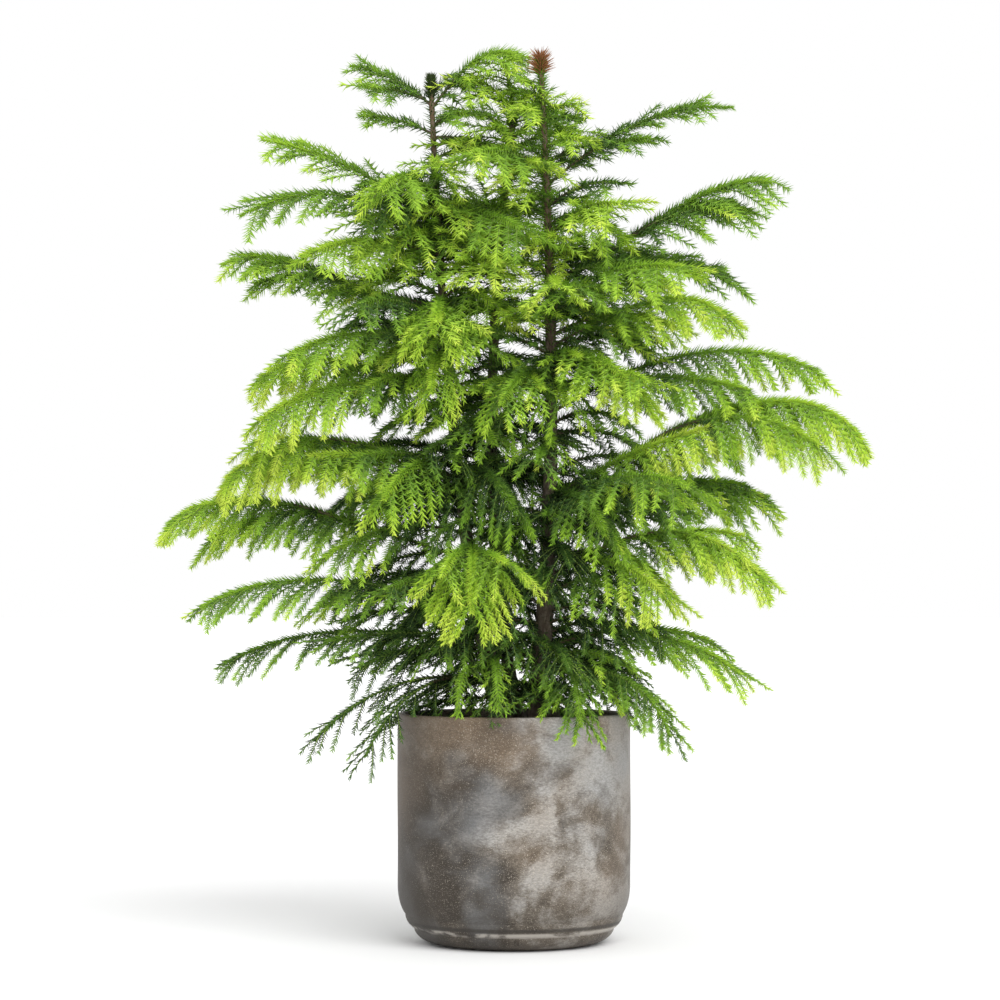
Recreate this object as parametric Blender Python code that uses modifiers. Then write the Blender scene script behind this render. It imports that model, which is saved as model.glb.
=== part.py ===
"""A potted Norfolk Island pine: three stems in one pot, with tiers of boughs that carry drooping sprays of needles.

Metres, +Z up, +Y away from the front. The origin is the centre of the pot's underside.
"""

import math
from typing import NamedTuple

import bmesh
import bpy
import numpy as np
from mathutils import Vector
from mathutils.bvhtree import BVHTree

# Pot and soil
POT_RADIUS = 0.140
POT_HEIGHT = 0.275
POT_WALL = 0.009
LIP_ROUND = 0.003
FOOT_RADIUS = 0.088
SEAM_HEIGHT = 0.027
SEAM_RADIUS = 0.1205
SEAM_DEPTH = 0.0022
SHOULDER_HEIGHT = 0.070
POT_FLOOR = 0.016
SOIL_TOP = 0.243
SOIL_FALL = 0.006
SOIL_FLAT_RADIUS = 0.070
POT_STEPS = 32
POT_CORNER = 0.020
GAP = 0.0003
MERGE = 0.00005
WELD = 0.00001
SHARP_ANGLE = math.radians(40)

# Wood
TUBE_RESOLUTION = 2
STEM_POINTS = 12
LIMB_POINTS = 5
FLARE_HEIGHT = 0.016
FLARE_GROWTH = 1.45
FLARE_BEND = 1 / 3
LIMB_ROOT_RADIUS = 0.0034
LIMB_TIP_RADIUS = 0.0024
SEAT_PROBE = 0.030
SEAT_POINTS = 12
SEAT_GAP = 1.25 * GAP

# Sparse needles on the top of a stem, and the tuft round its bud
GOLDEN_ANGLE = math.radians(137.5)
SPIKES = 12
SPIKE_ZONE = 0.16
SPIKE_LENGTH = 0.0125
SPIKE_RADIUS = 0.0016
SPIKE_PITCH = 8.0
WHORL_CLEAR = 0.010
TUFT_SPIKES = 7
TUFT_DEPTH = 0.010
TUFT_LENGTH = 0.0185
TUFT_PITCHES = (74.0, 52.0, 30.0)

# Foliage
SEED = 82
CURVE_POINTS = 49
FIRST_SPRAY = 0.16
FEWEST_SPRAYS = 3
SPRAY_STEP = 0.036
LONGEST_AT = 0.30
FIRST_LENGTH = 0.72
FALL_REACH = 0.76
SPLAY_ROOT = 72.0
SPLAY_TIP = 34.0
SWAY = 7.0
STRAIGHT_DOWN = -86.0
DROOP_SHAPE = 0.6
LENGTH_SPREAD = 0.10
PLACE_SPREAD = 0.15
SPRAY_WIDTH = 0.0165
SPRAY_RIDGE = 0.0026
TOOTH_LENGTH = 0.042
FEWEST_TEETH = 2
TOOTH_PEAK = 0.50
TOOTH_VALLEY = 0.92
RACHIS_WIDTH = 0.0135
RACHIS_RIDGE = 0.0052
RACHIS_TOOTH = 0.055
ROOT_WIDTH = 0.0030
VALLEY = 0.36
TIP_WIDTH = 0.55
NARROWING = 1.1
THINNING = 0.35
KEEL = 1 / 3
TOOTH_SLANT = 0.009
CLEARANCE = 0.0008
TRIES = (1.0, 0.78, 0.58)
UP = np.array([0.0, 0.0, 1.0])


class Stem(NamedTuple):
    """A stem rises from its foot to its tip along one smooth arc that leans by way of its waist."""

    foot: tuple
    waist: tuple
    tip: tuple
    foot_radius: float
    tip_radius: float
    tufted: bool


class Fork(NamedTuple):
    """A second frond that leaves a bough at the share at of its reach, turned sideways by turn degrees."""

    at: float
    turn: float
    reach: float
    rise: float
    dip: float


class Bough(NamedTuple):
    """A bough leaves its stem at a height and heading (0 right, 90 away, 180 left, 270 front), at the angle rise
    above level, and bends to the angle dip at its tip, later as late grows. Its longest side spray is twig long,
    hang is how far the sprays droop (0 not, 1 straight down), last is the share of its reach where they end,
    and bare is the share that is a limb without foliage."""

    name: str
    stem: str
    height: float
    heading: float
    reach: float
    rise: float
    dip: float
    late: float
    twig: float
    hang: float
    last: float = 0.93
    bare: float = 0.0
    forks: tuple = ()


STEMS = {
    "left": Stem((-0.012, 0.012, SOIL_TOP), (-0.078, 0.020, 0.480), (-0.101, 0.012, 1.040), 0.0110, 0.0028, True),
    "right": Stem((0.026, -0.016, SOIL_TOP), (0.060, -0.012, 0.600), (0.032, -0.006, 1.062), 0.0120, 0.0028, True),
    "back": Stem((0.006, 0.044, SOIL_TOP), (-0.056, 0.062, 0.560), (-0.001, 0.050, 1.000), 0.0085, 0.0044, False),
}

BOUGHS = (
    # Left stem, from its top down
    Bough("left_crown_out", "left", 1.010, 176, 0.112, 46, 8, 1.0, 0.035, 0.1, last=0.70,
          forks=(Fork(0.12, 31, 0.088, 16, -4),)),
    Bough("left_crown_in", "left", 1.008, 356, 0.140, 52, -55, 3.0, 0.045, 0.4, last=0.90),
    Bough("left_collar_out", "left", 0.976, 187, 0.094, 29, -4, 1.0, 0.030, 0.1, last=0.70),
    Bough("left_collar_in", "left", 0.972, 8, 0.112, 6, -34, 1.0, 0.050, 0.3, last=0.85),
    Bough("left_upper_spear", "left", 0.862, 176, 0.245, 44, 10, 1.0, 0.050, 0.2, last=0.78),
    Bough("left_upper_sickle", "left", 0.850, 191, 0.258, 36, -32, 1.2, 0.055, 0.3, last=0.78),
    Bough("left_upper_front", "left", 0.890, 250, 0.175, 34, -34, 1.0, 0.060, 0.4, last=0.90),
    Bough("left_upper_near", "left", 0.858, 312, 0.150, 24, -30, 1.0, 0.060, 0.4, last=0.90),
    Bough("left_upper_back", "left", 0.860, 88, 0.200, 30, -15, 1.0, 0.060, 0.3, last=0.85),
    Bough("left_shelf_front", "left", 0.824, 213, 0.170, 24, -22, 1.0, 0.060, 0.4),
    Bough("left_shelf_out", "left", 0.736, 177, 0.294, 27, -30, 4.5, 0.065, 0.4, last=0.84, bare=0.16),
    Bough("left_shelf_low", "left", 0.715, 203, 0.215, 22, -30, 1.0, 0.075, 0.6),
    Bough("left_shelf_near", "left", 0.760, 268, 0.170, 20, -48, 1.0, 0.070, 0.7),
    Bough("left_shelf_back", "left", 0.736, 118, 0.230, 24, -30, 1.0, 0.070, 0.5),
    Bough("left_middle_out", "left", 0.655, 181, 0.245, 23, -40, 2.6, 0.085, 0.75,
          forks=(Fork(0.10, 26, 0.235, 14, -34),)),
    Bough("left_middle_front", "left", 0.694, 262, 0.165, 26, -58, 1.0, 0.075, 0.8),
    Bough("left_waist_out", "left", 0.556, 184, 0.300, 27, -40, 1.5, 0.095, 0.85, bare=0.16),
    Bough("left_waist_front", "left", 0.566, 238, 0.175, 24, -50, 1.0, 0.085, 0.85),
    Bough("left_waist_near", "left", 0.560, 292, 0.180, 18, -50, 1.0, 0.085, 0.85),
    Bough("left_waist_back", "left", 0.552, 132, 0.260, 20, -40, 1.0, 0.085, 0.7),
    Bough("left_long_out", "left", 0.459, 176, 0.395, 18, -50, 4.5, 0.090, 0.75, bare=0.16),
    Bough("left_fan_front", "left", 0.448, 272, 0.250, 32, -58, 1.0, 0.096, 0.72),
    Bough("left_low_out", "left", 0.398, 190, 0.345, 16, -30, 2.0, 0.085, 0.7),
    Bough("left_low_back", "left", 0.400, 112, 0.270, 18, -44, 1.0, 0.085, 0.7),
    Bough("left_skirt_out", "left", 0.345, 174, 0.328, 18, -28, 1.3, 0.080, 0.65),
    Bough("left_hem_out", "left", 0.312, 204, 0.252, 14, -46, 1.0, 0.085, 0.7,
          forks=(Fork(0.12, 22, 0.205, 6, -60),)),
    # Right stem, from its top down
    Bough("right_crown_out", "right", 0.994, 2, 0.050, 8, -14, 1.0, 0.018, 0.1, last=0.60),
    Bough("right_collar_out", "right", 0.911, 356, 0.250, 40, -8, 1.7, 0.040, 0.1, last=0.72,
          forks=(Fork(0.20, -26, 0.098, 28, -6),)),
    Bough("right_collar_front", "right", 0.930, 222, 0.130, 24, -18, 1.0, 0.055, 0.3, last=0.85),
    Bough("right_upper_near", "right", 0.850, 328, 0.098, 36, -55, 1.5, 0.050, 0.5, last=0.90),
    Bough("right_upper_out", "right", 0.783, 6, 0.306, 34, -12, 5.0, 0.075, 0.40, last=0.90, bare=0.16),
    Bough("right_upper_back", "right", 0.806, 30, 0.255, 20, -16, 1.0, 0.075, 0.4),
    Bough("right_shelf_front", "right", 0.768, 322, 0.195, 30, -10, 1.0, 0.070, 0.5),
    Bough("right_shelf_out", "right", 0.716, 346, 0.225, 27, -45, 3.0, 0.080, 0.6),
    Bough("right_shelf_back", "right", 0.744, 62, 0.230, 24, -24, 1.0, 0.075, 0.5),
    Bough("right_middle_out", "right", 0.636, 8, 0.354, 31, -26, 1.6, 0.085, 0.7, bare=0.16,
          forks=(Fork(0.22, -20, 0.175, 10, -18),)),
    Bough("right_middle_near", "right", 0.684, 306, 0.175, 30, -56, 1.0, 0.085, 0.75),
    Bough("right_middle_front", "right", 0.672, 240, 0.145, 24, -52, 1.0, 0.080, 0.75),
    Bough("right_long_out", "right", 0.531, 352, 0.415, 30, -58, 3.4, 0.100, 0.85, bare=0.16),
    Bough("right_waist_low", "right", 0.510, 16, 0.290, 25, -14, 1.0, 0.090, 0.7),
    Bough("right_waist_front", "right", 0.528, 294, 0.160, 24, -56, 1.0, 0.080, 0.8),
    Bough("right_waist_back", "right", 0.530, 74, 0.280, 24, -40, 1.0, 0.090, 0.7),
    Bough("right_low_out", "right", 0.436, 347, 0.290, 34, -52, 1.5, 0.090, 0.75,
          forks=(Fork(0.12, -34, 0.160, 12, -38),)),
    Bough("right_hem_out", "right", 0.350, 342, 0.255, 26, -38, 1.0, 0.085, 0.7,
          forks=(Fork(0.14, 32, 0.185, 20, -22),)),
    Bough("right_hem_back", "right", 0.352, 66, 0.240, 18, -44, 1.0, 0.085, 0.7),
    Bough("right_hem_low", "right", 0.322, 322, 0.225, 12, -66, 1.5, 0.080, 0.7,
          forks=(Fork(0.16, -44, 0.150, 10, -62),)),
    # Back stem, from its top down
    Bough("back_crown", "back", 1.000, 250, 0.078, 78, 30, 1.5, 0.055, 0.35, last=0.92),
    Bough("back_upper_left", "back", 0.820, 142, 0.190, 34, -10, 1.0, 0.065, 0.3),
    Bough("back_middle", "back", 0.620, 96, 0.250, 26, -36, 1.0, 0.080, 0.6),
)


class Curve(NamedTuple):
    """Points along a curve, and the curve's unit direction at each."""

    points: np.ndarray
    directions: np.ndarray


def unit(vectors):
    return vectors / np.linalg.norm(vectors, axis=-1, keepdims=True)


def sweep(start, headings, pitches, reach):
    """The curve of the length reach that has the given heading and pitch, in degrees, at each of its points.
    Each point is the one before plus the step times the mean of the two directions."""
    turn = np.radians(headings)
    climb = np.radians(pitches)
    directions = np.stack([np.cos(climb) * np.cos(turn), np.cos(climb) * np.sin(turn), np.sin(climb)], axis=1)
    step = reach / (len(directions) - 1)
    moves = (directions[1:] + directions[:-1]) / 2 * step
    return Curve(start + np.vstack([np.zeros(3), np.cumsum(moves, axis=0)]), directions)


def along(curve, shares):
    """The curve read at the given shares of its length."""
    stops = np.linspace(0.0, 1.0, len(curve.points))
    points = np.stack([np.interp(shares, stops, column) for column in curve.points.T], axis=-1)
    directions = np.stack([np.interp(shares, stops, column) for column in curve.directions.T], axis=-1)
    return Curve(points, unit(directions))


def stem_curve(stem):
    """A quadratic arc from the top of the root flare to the tip."""
    share = np.linspace(0.0, 1.0, CURVE_POINTS)[:, None]
    foot, waist, tip = (np.array(point) for point in (stem.foot, stem.waist, stem.tip))
    foot = foot + UP * FLARE_HEIGHT
    points = (1 - share) ** 2 * foot + 2 * share * (1 - share) * waist + share ** 2 * tip
    directions = 2 * (1 - share) * (waist - foot) + 2 * share * (tip - waist)
    return Curve(points, unit(directions))


def stem_share(stem, height):
    curve = stem_curve(stem)
    return float(np.interp(height, curve.points[:, 2], np.linspace(0.0, 1.0, CURVE_POINTS)))


def bough_curve(bough, rng):
    share = np.linspace(0.0, 1.0, CURVE_POINTS)
    start = along(stem_curve(STEMS[bough.stem]), stem_share(STEMS[bough.stem], bough.height)).points
    headings = bough.heading + rng.uniform(-SWAY, SWAY) * share
    pitches = bough.rise + (bough.dip - bough.rise) * share ** bough.late
    return sweep(start, headings, pitches, bough.reach)


def fork_curve(bough, curve, fork):
    share = np.linspace(0.0, 1.0, CURVE_POINTS)
    start = along(curve, fork.at).points
    headings = bough.heading + fork.turn + 0 * share
    pitches = fork.rise + (fork.dip - fork.rise) * share
    return sweep(start, headings, pitches, fork.reach)


def spray_length(bough, share):
    """Side sprays lengthen up to LONGEST_AT of the reach, and from there their length falls as on an ellipse."""
    past = np.clip((share - LONGEST_AT) / FALL_REACH, 0.0, 1.0)
    growing = FIRST_LENGTH + (1 - FIRST_LENGTH) * share / LONGEST_AT
    return bough.twig * np.where(share < LONGEST_AT, growing, np.sqrt(1 - past ** 2))


def spray_curve(bough, curve, share, side, length):
    """A side spray leaves the bough at the splay, and its pitch falls towards straight down as far as hang says."""
    here = along(curve, share)
    flat = math.degrees(math.atan2(here.directions[1], here.directions[0]))
    splay = SPLAY_ROOT + (SPLAY_TIP - SPLAY_ROOT) * share
    start_pitch = math.degrees(math.asin(here.directions[2] * math.cos(math.radians(splay))))
    end_pitch = start_pitch + (STRAIGHT_DOWN - start_pitch) * bough.hang
    steps = np.linspace(0.0, 1.0, CURVE_POINTS)
    pitches = start_pitch + (end_pitch - start_pitch) * steps ** DROOP_SHAPE
    return sweep(here.points, np.full(CURVE_POINTS, flat + side * splay), pitches, length)


def spray_plan(bough, reach, first, rng):
    """Where the side sprays of a frond stand, as (share of its reach, side, length), from its tip inwards."""
    count = max(FEWEST_SPRAYS, round((bough.last - first) * reach / SPRAY_STEP))
    spacing = (bough.last - first) / (count - 1)
    shares = np.linspace(first, bough.last, count) + rng.uniform(-PLACE_SPREAD, PLACE_SPREAD, count) * spacing
    lengths = spray_length(bough, shares) * rng.uniform(1 - LENGTH_SPREAD, 1 + LENGTH_SPREAD, count)
    sides = np.where(np.arange(count) % 2 == 0, 1, -1)
    return list(zip(shares, sides, lengths))[::-1]


def blade(curve, side_line, half_width, ridge, teeth, grow=0.0):
    """The points and faces of a tapering blade with forward-pointing teeth along a curve. A section has three
    points, its left edge, its crest and its right edge, and the tip is one point. side_line points across."""
    tooth = np.arange(teeth)
    peaks = (tooth + TOOTH_PEAK) / teeth
    valleys = (tooth[:-1] + TOOTH_VALLEY) / teeth
    shares = np.sort(np.concatenate([[0.0], peaks, valleys]))
    is_peak = np.isin(shares, peaks)
    spine = along(curve, shares)
    across = along(Curve(curve.points, side_line), shares).directions
    across = unit(across - spine.directions * np.sum(across * spine.directions, axis=1, keepdims=True))
    normal = np.cross(spine.directions, across)
    narrowing = np.minimum(1.0, TIP_WIDTH + (1.0 - shares) * NARROWING)
    widths = np.where(is_peak, half_width, half_width * VALLEY) * narrowing
    widths[0] = ROOT_WIDTH
    widths = (widths + grow)[:, None]
    slant = spine.directions * np.where(is_peak, TOOTH_SLANT, 0.0)[:, None]
    thickness = ridge * (1.0 - THINNING * shares)[:, None] + 2 * grow
    base = spine.points - normal * thickness * KEEL
    crest = spine.points + normal * thickness * (1 - KEEL)
    sections = np.stack([base - across * widths + slant, crest, base + across * widths + slant], axis=1)
    points = np.vstack([sections.reshape(-1, 3), curve.points[-1] + curve.directions[-1] * grow])
    faces = [(0, 1, 2)]
    last = 3 * (len(shares) - 1)
    for start in range(0, last, 3):
        for here, after in ((0, 1), (1, 2), (2, 0)):
            faces.append((start + here, start + 3 + after, start + after))
            faces.append((start + here, start + 3 + here, start + 3 + after))
    faces += [(last + here, last + 3, last + after) for here, after in ((0, 1), (1, 2), (2, 0))]
    return points, faces


def spray_blade(bough_tangent, curve, grow=0.0):
    """A spray's blade lies in the plane of its own run and the bough's."""
    length = float(np.linalg.norm(np.diff(curve.points, axis=0), axis=1).sum())
    teeth = max(FEWEST_TEETH, round(length / TOOTH_LENGTH))
    side_line = np.tile(bough_tangent, (CURVE_POINTS, 1))
    return blade(curve, side_line, SPRAY_WIDTH, SPRAY_RIDGE, teeth, grow)


def rachis_blade(curve):
    """The stalk of a frond is a narrower blade that lies level across its run."""
    length = float(np.linalg.norm(np.diff(curve.points, axis=0), axis=1).sum())
    teeth = max(FEWEST_TEETH, round(length / RACHIS_TOOTH))
    return blade(curve, np.cross(curve.directions, UP), RACHIS_WIDTH, RACHIS_RIDGE, teeth)


class Obstacles:
    """The surfaces that later blades keep clear of, each with the node that it belongs to."""

    def __init__(self):
        self.entries = []

    def add(self, owner, points, faces):
        tree = BVHTree.FromPolygons([tuple(point) for point in points], faces)
        points = np.asarray(points)
        self.entries.append((owner, tree, points.min(axis=0), points.max(axis=0)))

    def add_object(self, owner, obj):
        self.add(owner, [vertex.co[:] for vertex in obj.data.vertices],
                 [polygon.vertices[:] for polygon in obj.data.polygons])

    def hits(self, owner, points, faces):
        """The owners of the surfaces that this one crosses, leaving out its own node's."""
        low = points.min(axis=0)
        high = points.max(axis=0)
        near = [entry for entry in self.entries
                if entry[0] != owner and np.all(entry[2] <= high) and np.all(entry[3] >= low)]
        if not near:
            return []
        tree = BVHTree.FromPolygons([tuple(point) for point in points], faces)
        return [entry[0] for entry in near if entry[1].overlap(tree)]

    def room_behind(self, owner, origins, direction):
        """How far these points can move against the direction before one of them meets the named node."""
        trees = [entry[1] for entry in self.entries if entry[0] == owner]
        reaches = [tree.ray_cast(tuple(origin), tuple(-direction))[3] for tree in trees for origin in origins]
        return min(reach for reach in reaches if reach is not None)


def mesh_object(name, points, faces, collection):
    mesh = bpy.data.meshes.new(name)
    mesh.from_pydata([tuple(point) for point in points], [], faces)
    mesh.update()
    obj = bpy.data.objects.new(name, mesh)
    collection.objects.link(obj)
    return obj


def replace_mesh(obj, mesh):
    """Give the object this mesh, and drop its modifiers and its old mesh."""
    old = obj.data
    obj.modifiers.clear()
    obj.data = mesh
    bpy.data.meshes.remove(old)


def evaluated_mesh(obj):
    bpy.context.view_layer.update()
    graph = bpy.context.evaluated_depsgraph_get()
    return bpy.data.meshes.new_from_object(obj.evaluated_get(graph))


def connected_bodies(work):
    """The mesh's faces as one set for each body that holds together along its edges."""
    bodies = []
    unseen = set(work.faces)
    while unseen:
        body = {unseen.pop()}
        border = set(body)
        while border:
            border = {face for near in border for edge in near.edges for face in edge.link_faces} - body
            body |= border
        unseen -= body
        bodies.append(body)
    return bodies


def tidy(mesh):
    """Triangulate the mesh and keep only its largest connected body, so that scraps go and a sealed hollow is
    filled. True where the mesh is then closed."""
    work = bmesh.new()
    work.from_mesh(mesh)
    bmesh.ops.remove_doubles(work, verts=work.verts, dist=WELD)
    bmesh.ops.dissolve_degenerate(work, edges=work.edges, dist=WELD)
    on_a_side = [vert for vert in work.verts if len(vert.link_edges) == 2]
    bmesh.ops.dissolve_verts(work, verts=on_a_side)
    bmesh.ops.triangulate(work, faces=work.faces)
    largest = max(connected_bodies(work), key=len)
    bmesh.ops.delete(work, geom=[face for face in work.faces if face not in largest], context="FACES")
    closed = all(len(edge.link_faces) == 2 for edge in work.edges)
    work.to_mesh(mesh)
    work.free()
    return closed


def fuse(obj, others):
    """Join the other closed objects into this one by one Boolean union on their collection. The EXACT solver
    leaves creases open where thin blades cross, so it is MANIFOLD. Where one piece still spoils the union, the
    union is made without it."""
    group = bpy.data.collections.new(obj.name + "_pieces")
    bpy.context.scene.collection.children.link(group)
    for other in others:
        for holder in list(other.users_collection):
            holder.objects.unlink(other)
    union = obj.modifiers.new("fuse", "BOOLEAN")
    union.operation = "UNION"
    union.operand_type = "COLLECTION"
    union.collection = group
    union.solver = "MANIFOLD"
    for left_out in [None, *others]:
        for other in others:
            if other is not left_out:
                group.objects.link(other)
        mesh = evaluated_mesh(obj)
        if tidy(mesh):
            break
        bpy.data.meshes.remove(mesh)
        for other in list(group.objects):
            group.objects.unlink(other)
    else:
        raise ValueError(f"The union of {obj.name} has an open edge.")
    replace_mesh(obj, mesh)
    for other in others:
        bpy.data.objects.remove(other)
    bpy.data.collections.remove(group)


def tube(name, points, radii, collection):
    """A round tapering rod along the points, with flat ends, as a closed mesh."""
    curve = bpy.data.curves.new(name, "CURVE")
    curve.dimensions = "3D"
    curve.twist_mode = "MINIMUM"
    curve.bevel_depth = 1.0
    curve.bevel_resolution = TUBE_RESOLUTION
    curve.use_fill_caps = True
    spline = curve.splines.new("POLY")
    spline.points.add(len(points) - 1)
    for node, place, radius in zip(spline.points, points, radii):
        node.co = (*place, 1.0)
        node.radius = radius
    guide = bpy.data.objects.new(name + "_line", curve)
    collection.objects.link(guide)
    mesh = evaluated_mesh(guide)
    bpy.data.objects.remove(guide)
    tidy(mesh)
    obj = bpy.data.objects.new(name, mesh)
    collection.objects.link(obj)
    return obj


def needle(name, root, direction, length, radius, collection):
    """A three-sided spike whose base is centred on the root."""
    work = bmesh.new()
    matrix = Vector(direction).to_track_quat("Z", "Y").to_matrix().to_4x4()
    matrix.translation = Vector(root) + Vector(direction) * length / 2
    bmesh.ops.create_cone(work, cap_ends=True, segments=3, radius1=radius, radius2=0.0, depth=length, matrix=matrix)
    mesh = bpy.data.meshes.new(name)
    work.to_mesh(mesh)
    work.free()
    obj = bpy.data.objects.new(name, mesh)
    collection.objects.link(obj)
    return obj


def finish(obj, material):
    """Shade round forms smooth, and give the object its material."""
    obj.data.materials.clear()
    obj.data.materials.append(material)
    obj.data.shade_smooth()
    obj.data.set_sharp_from_angle(angle=SHARP_ANGLE)


def plain_material(name, colour, roughness):
    material = bpy.data.materials.new(name)
    material.use_nodes = True
    surface = material.node_tree.nodes["Principled BSDF"]
    surface.inputs["Base Color"].default_value = (*colour, 1.0)
    surface.inputs["Roughness"].default_value = roughness
    surface.inputs["Metallic"].default_value = 0.0
    return material


def arc(centre, size, start, end, count):
    """Points on an ellipse about a centre, from one angle in degrees to another."""
    angles = np.radians(np.linspace(start, end, count))
    return [(centre[0] + size[0] * math.cos(angle), centre[1] + size[1] * math.sin(angle)) for angle in angles]


def turned(name, profile, collection):
    """A solid of revolution about Z, from a profile that runs down its outer side and ends on the axis."""
    points = [(radius, 0.0, height) for radius, height in profile]
    edges = [(index, index + 1) for index in range(len(points) - 1)]
    mesh = bpy.data.meshes.new(name)
    mesh.from_pydata(points, edges, [])
    obj = bpy.data.objects.new(name, mesh)
    collection.objects.link(obj)
    screw = obj.modifiers.new("turn", "SCREW")
    screw.steps = POT_STEPS
    screw.render_steps = POT_STEPS
    screw.use_merge_vertices = True
    screw.merge_threshold = MERGE
    solid = evaluated_mesh(obj)
    replace_mesh(obj, solid)
    return obj


def build_pot(collection):
    """A straight-sided pot whose rounded shoulder falls to a seam above a smaller foot."""
    inner = POT_RADIUS - POT_WALL
    lip = arc((POT_RADIUS - POT_WALL / 2, POT_HEIGHT - LIP_ROUND), (POT_WALL / 2, LIP_ROUND), 180, 0, 5)
    shoulder_size = (POT_RADIUS - SEAM_RADIUS, SHOULDER_HEIGHT - SEAM_HEIGHT)
    shoulder = arc((SEAM_RADIUS, SHOULDER_HEIGHT), shoulder_size, 0, -90, 5)
    groove = [(SEAM_RADIUS - SEAM_DEPTH, SEAM_HEIGHT - SEAM_DEPTH / 2), (SEAM_RADIUS, SEAM_HEIGHT - SEAM_DEPTH)]
    foot_size = (SEAM_RADIUS - FOOT_RADIUS, SEAM_HEIGHT - 2 * SEAM_DEPTH)
    foot = arc((FOOT_RADIUS, foot_size[1]), foot_size, 0, -90, 4)
    floor = [(0.0, POT_FLOOR), (inner - POT_CORNER, POT_FLOOR), (inner, POT_FLOOR + POT_CORNER)]
    return turned("pot", floor + lip + shoulder + groove + foot + [(0.0, 0.0)], collection)


def build_soil(collection):
    """Potting soil that fills the pot, with a level top that falls a little towards the wall."""
    edge = POT_RADIUS - POT_WALL - 2 * GAP
    floor = POT_FLOOR + GAP
    profile = [(0.0, SOIL_TOP), (SOIL_FLAT_RADIUS, SOIL_TOP), (edge, SOIL_TOP - SOIL_FALL),
               (edge, floor + POT_CORNER), (edge - POT_CORNER, floor), (0.0, floor)]
    return turned("soil", profile, collection)


def stem_points(stem):
    """The stem's line and radii: a level cut on the soil, a short root flare and a steady taper to the tip."""
    foot = np.array(stem.foot) + UP * GAP
    line = along(stem_curve(stem), np.linspace(0.0, 1.0, STEM_POINTS)).points
    radii = np.linspace(stem.foot_radius, stem.tip_radius, STEM_POINTS)
    flare = stem.foot_radius * np.array([FLARE_GROWTH, math.sqrt(FLARE_GROWTH)])
    return np.vstack([foot, foot + UP * FLARE_HEIGHT * FLARE_BEND, line]), np.concatenate([flare, radii])


def build_stem(name, stem, collection):
    """A stem, and on a tufted one the sparse needles of its top stretch and the tuft of them round its bud."""
    points, radii = stem_points(stem)
    obj = tube(name + "_stem", points, radii, collection)
    if not stem.tufted:
        return obj
    curve = stem_curve(stem)
    whorls = [bough.height for bough in BOUGHS if bough.stem == name]
    spikes = []
    for index in range(SPIKES):
        share = 1.0 - SPIKE_ZONE * (index + 1) / SPIKES
        here = along(curve, share)
        if min(abs(here.points[2] - height) for height in whorls) < WHORL_CLEAR:
            continue
        spikes.append((here, index * GOLDEN_ANGLE, SPIKE_PITCH, SPIKE_LENGTH))
    tip = along(curve, 1.0 - TUFT_DEPTH)
    spikes += [(tip, index * GOLDEN_ANGLE, TUFT_PITCHES[index % len(TUFT_PITCHES)], TUFT_LENGTH)
               for index in range(TUFT_SPIKES)]
    cones = []
    for here, turn, pitch, length in spikes:
        direction = sweep(np.zeros(3), np.full(2, math.degrees(turn)), np.full(2, pitch), 1.0).directions[0]
        cones.append(needle(name, here.points, direction, length, SPIKE_RADIUS, collection))
    fuse(obj, cones)
    return obj


def ring(point, direction, radius):
    """Points round a circle that stands across the direction."""
    across = unit(np.cross(direction, UP))
    above = np.cross(across, direction)
    angles = np.linspace(0.0, math.tau, SEAT_POINTS, endpoint=False)[:, None]
    return np.vstack([point, point + radius * (np.cos(angles) * across + np.sin(angles) * above)])


def root_face(bough, curve):
    """Points round the root that faces the stem: a limb's round end, or the three-sided end of a stalk."""
    if bough.bare:
        return ring(curve.points[0], curve.directions[0], LIMB_ROOT_RADIUS)
    corners = rachis_blade(curve)[0][:3]
    shares = np.linspace(0.0, 1.0, SEAT_POINTS, endpoint=False)[:, None, None]
    return (corners + (np.roll(corners, 1, axis=0) - corners) * shares).reshape(-1, 3)


def seat(bough, curve, obstacles):
    """The share of a bough's reach at which its root clears its stem by the gap."""
    direction = curve.directions[0]
    room = obstacles.room_behind(bough.stem, root_face(bough, curve) + SEAT_PROBE * direction, direction)
    return (SEAT_PROBE - room + SEAT_GAP) / bough.reach


def stretch(curve, first, last):
    return along(curve, np.linspace(first, last, CURVE_POINTS))


def build_limb(bough, curve, first, collection):
    """The bare inner stretch of a long bough, tapering to where its foliage starts."""
    line = along(curve, np.linspace(first, bough.bare - GAP / bough.reach, LIMB_POINTS)).points
    radii = np.linspace(LIMB_ROOT_RADIUS, LIMB_TIP_RADIUS, LIMB_POINTS)
    return tube(bough.name + "_limb", line, radii, collection)


def build_sprays(bough, frond, first, rng, obstacles, collection):
    """The side sprays of one frond. A spray that meets another node is tried shorter, and then left out."""
    pieces = []
    reach = float(np.linalg.norm(np.diff(frond.points, axis=0), axis=1).sum())
    for share, side, length in spray_plan(bough, reach, first, rng):
        tangent = along(frond, share).directions
        for shorter in TRIES:
            line = spray_curve(bough, frond, share, side, length * shorter)
            if not obstacles.hits(bough.name, *spray_blade(tangent, line, CLEARANCE)):
                points, faces = spray_blade(tangent, line)
                obstacles.add(bough.name, points, faces)
                pieces.append(mesh_object(bough.name + "_spray", points, faces, collection))
                break
    return pieces


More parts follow.
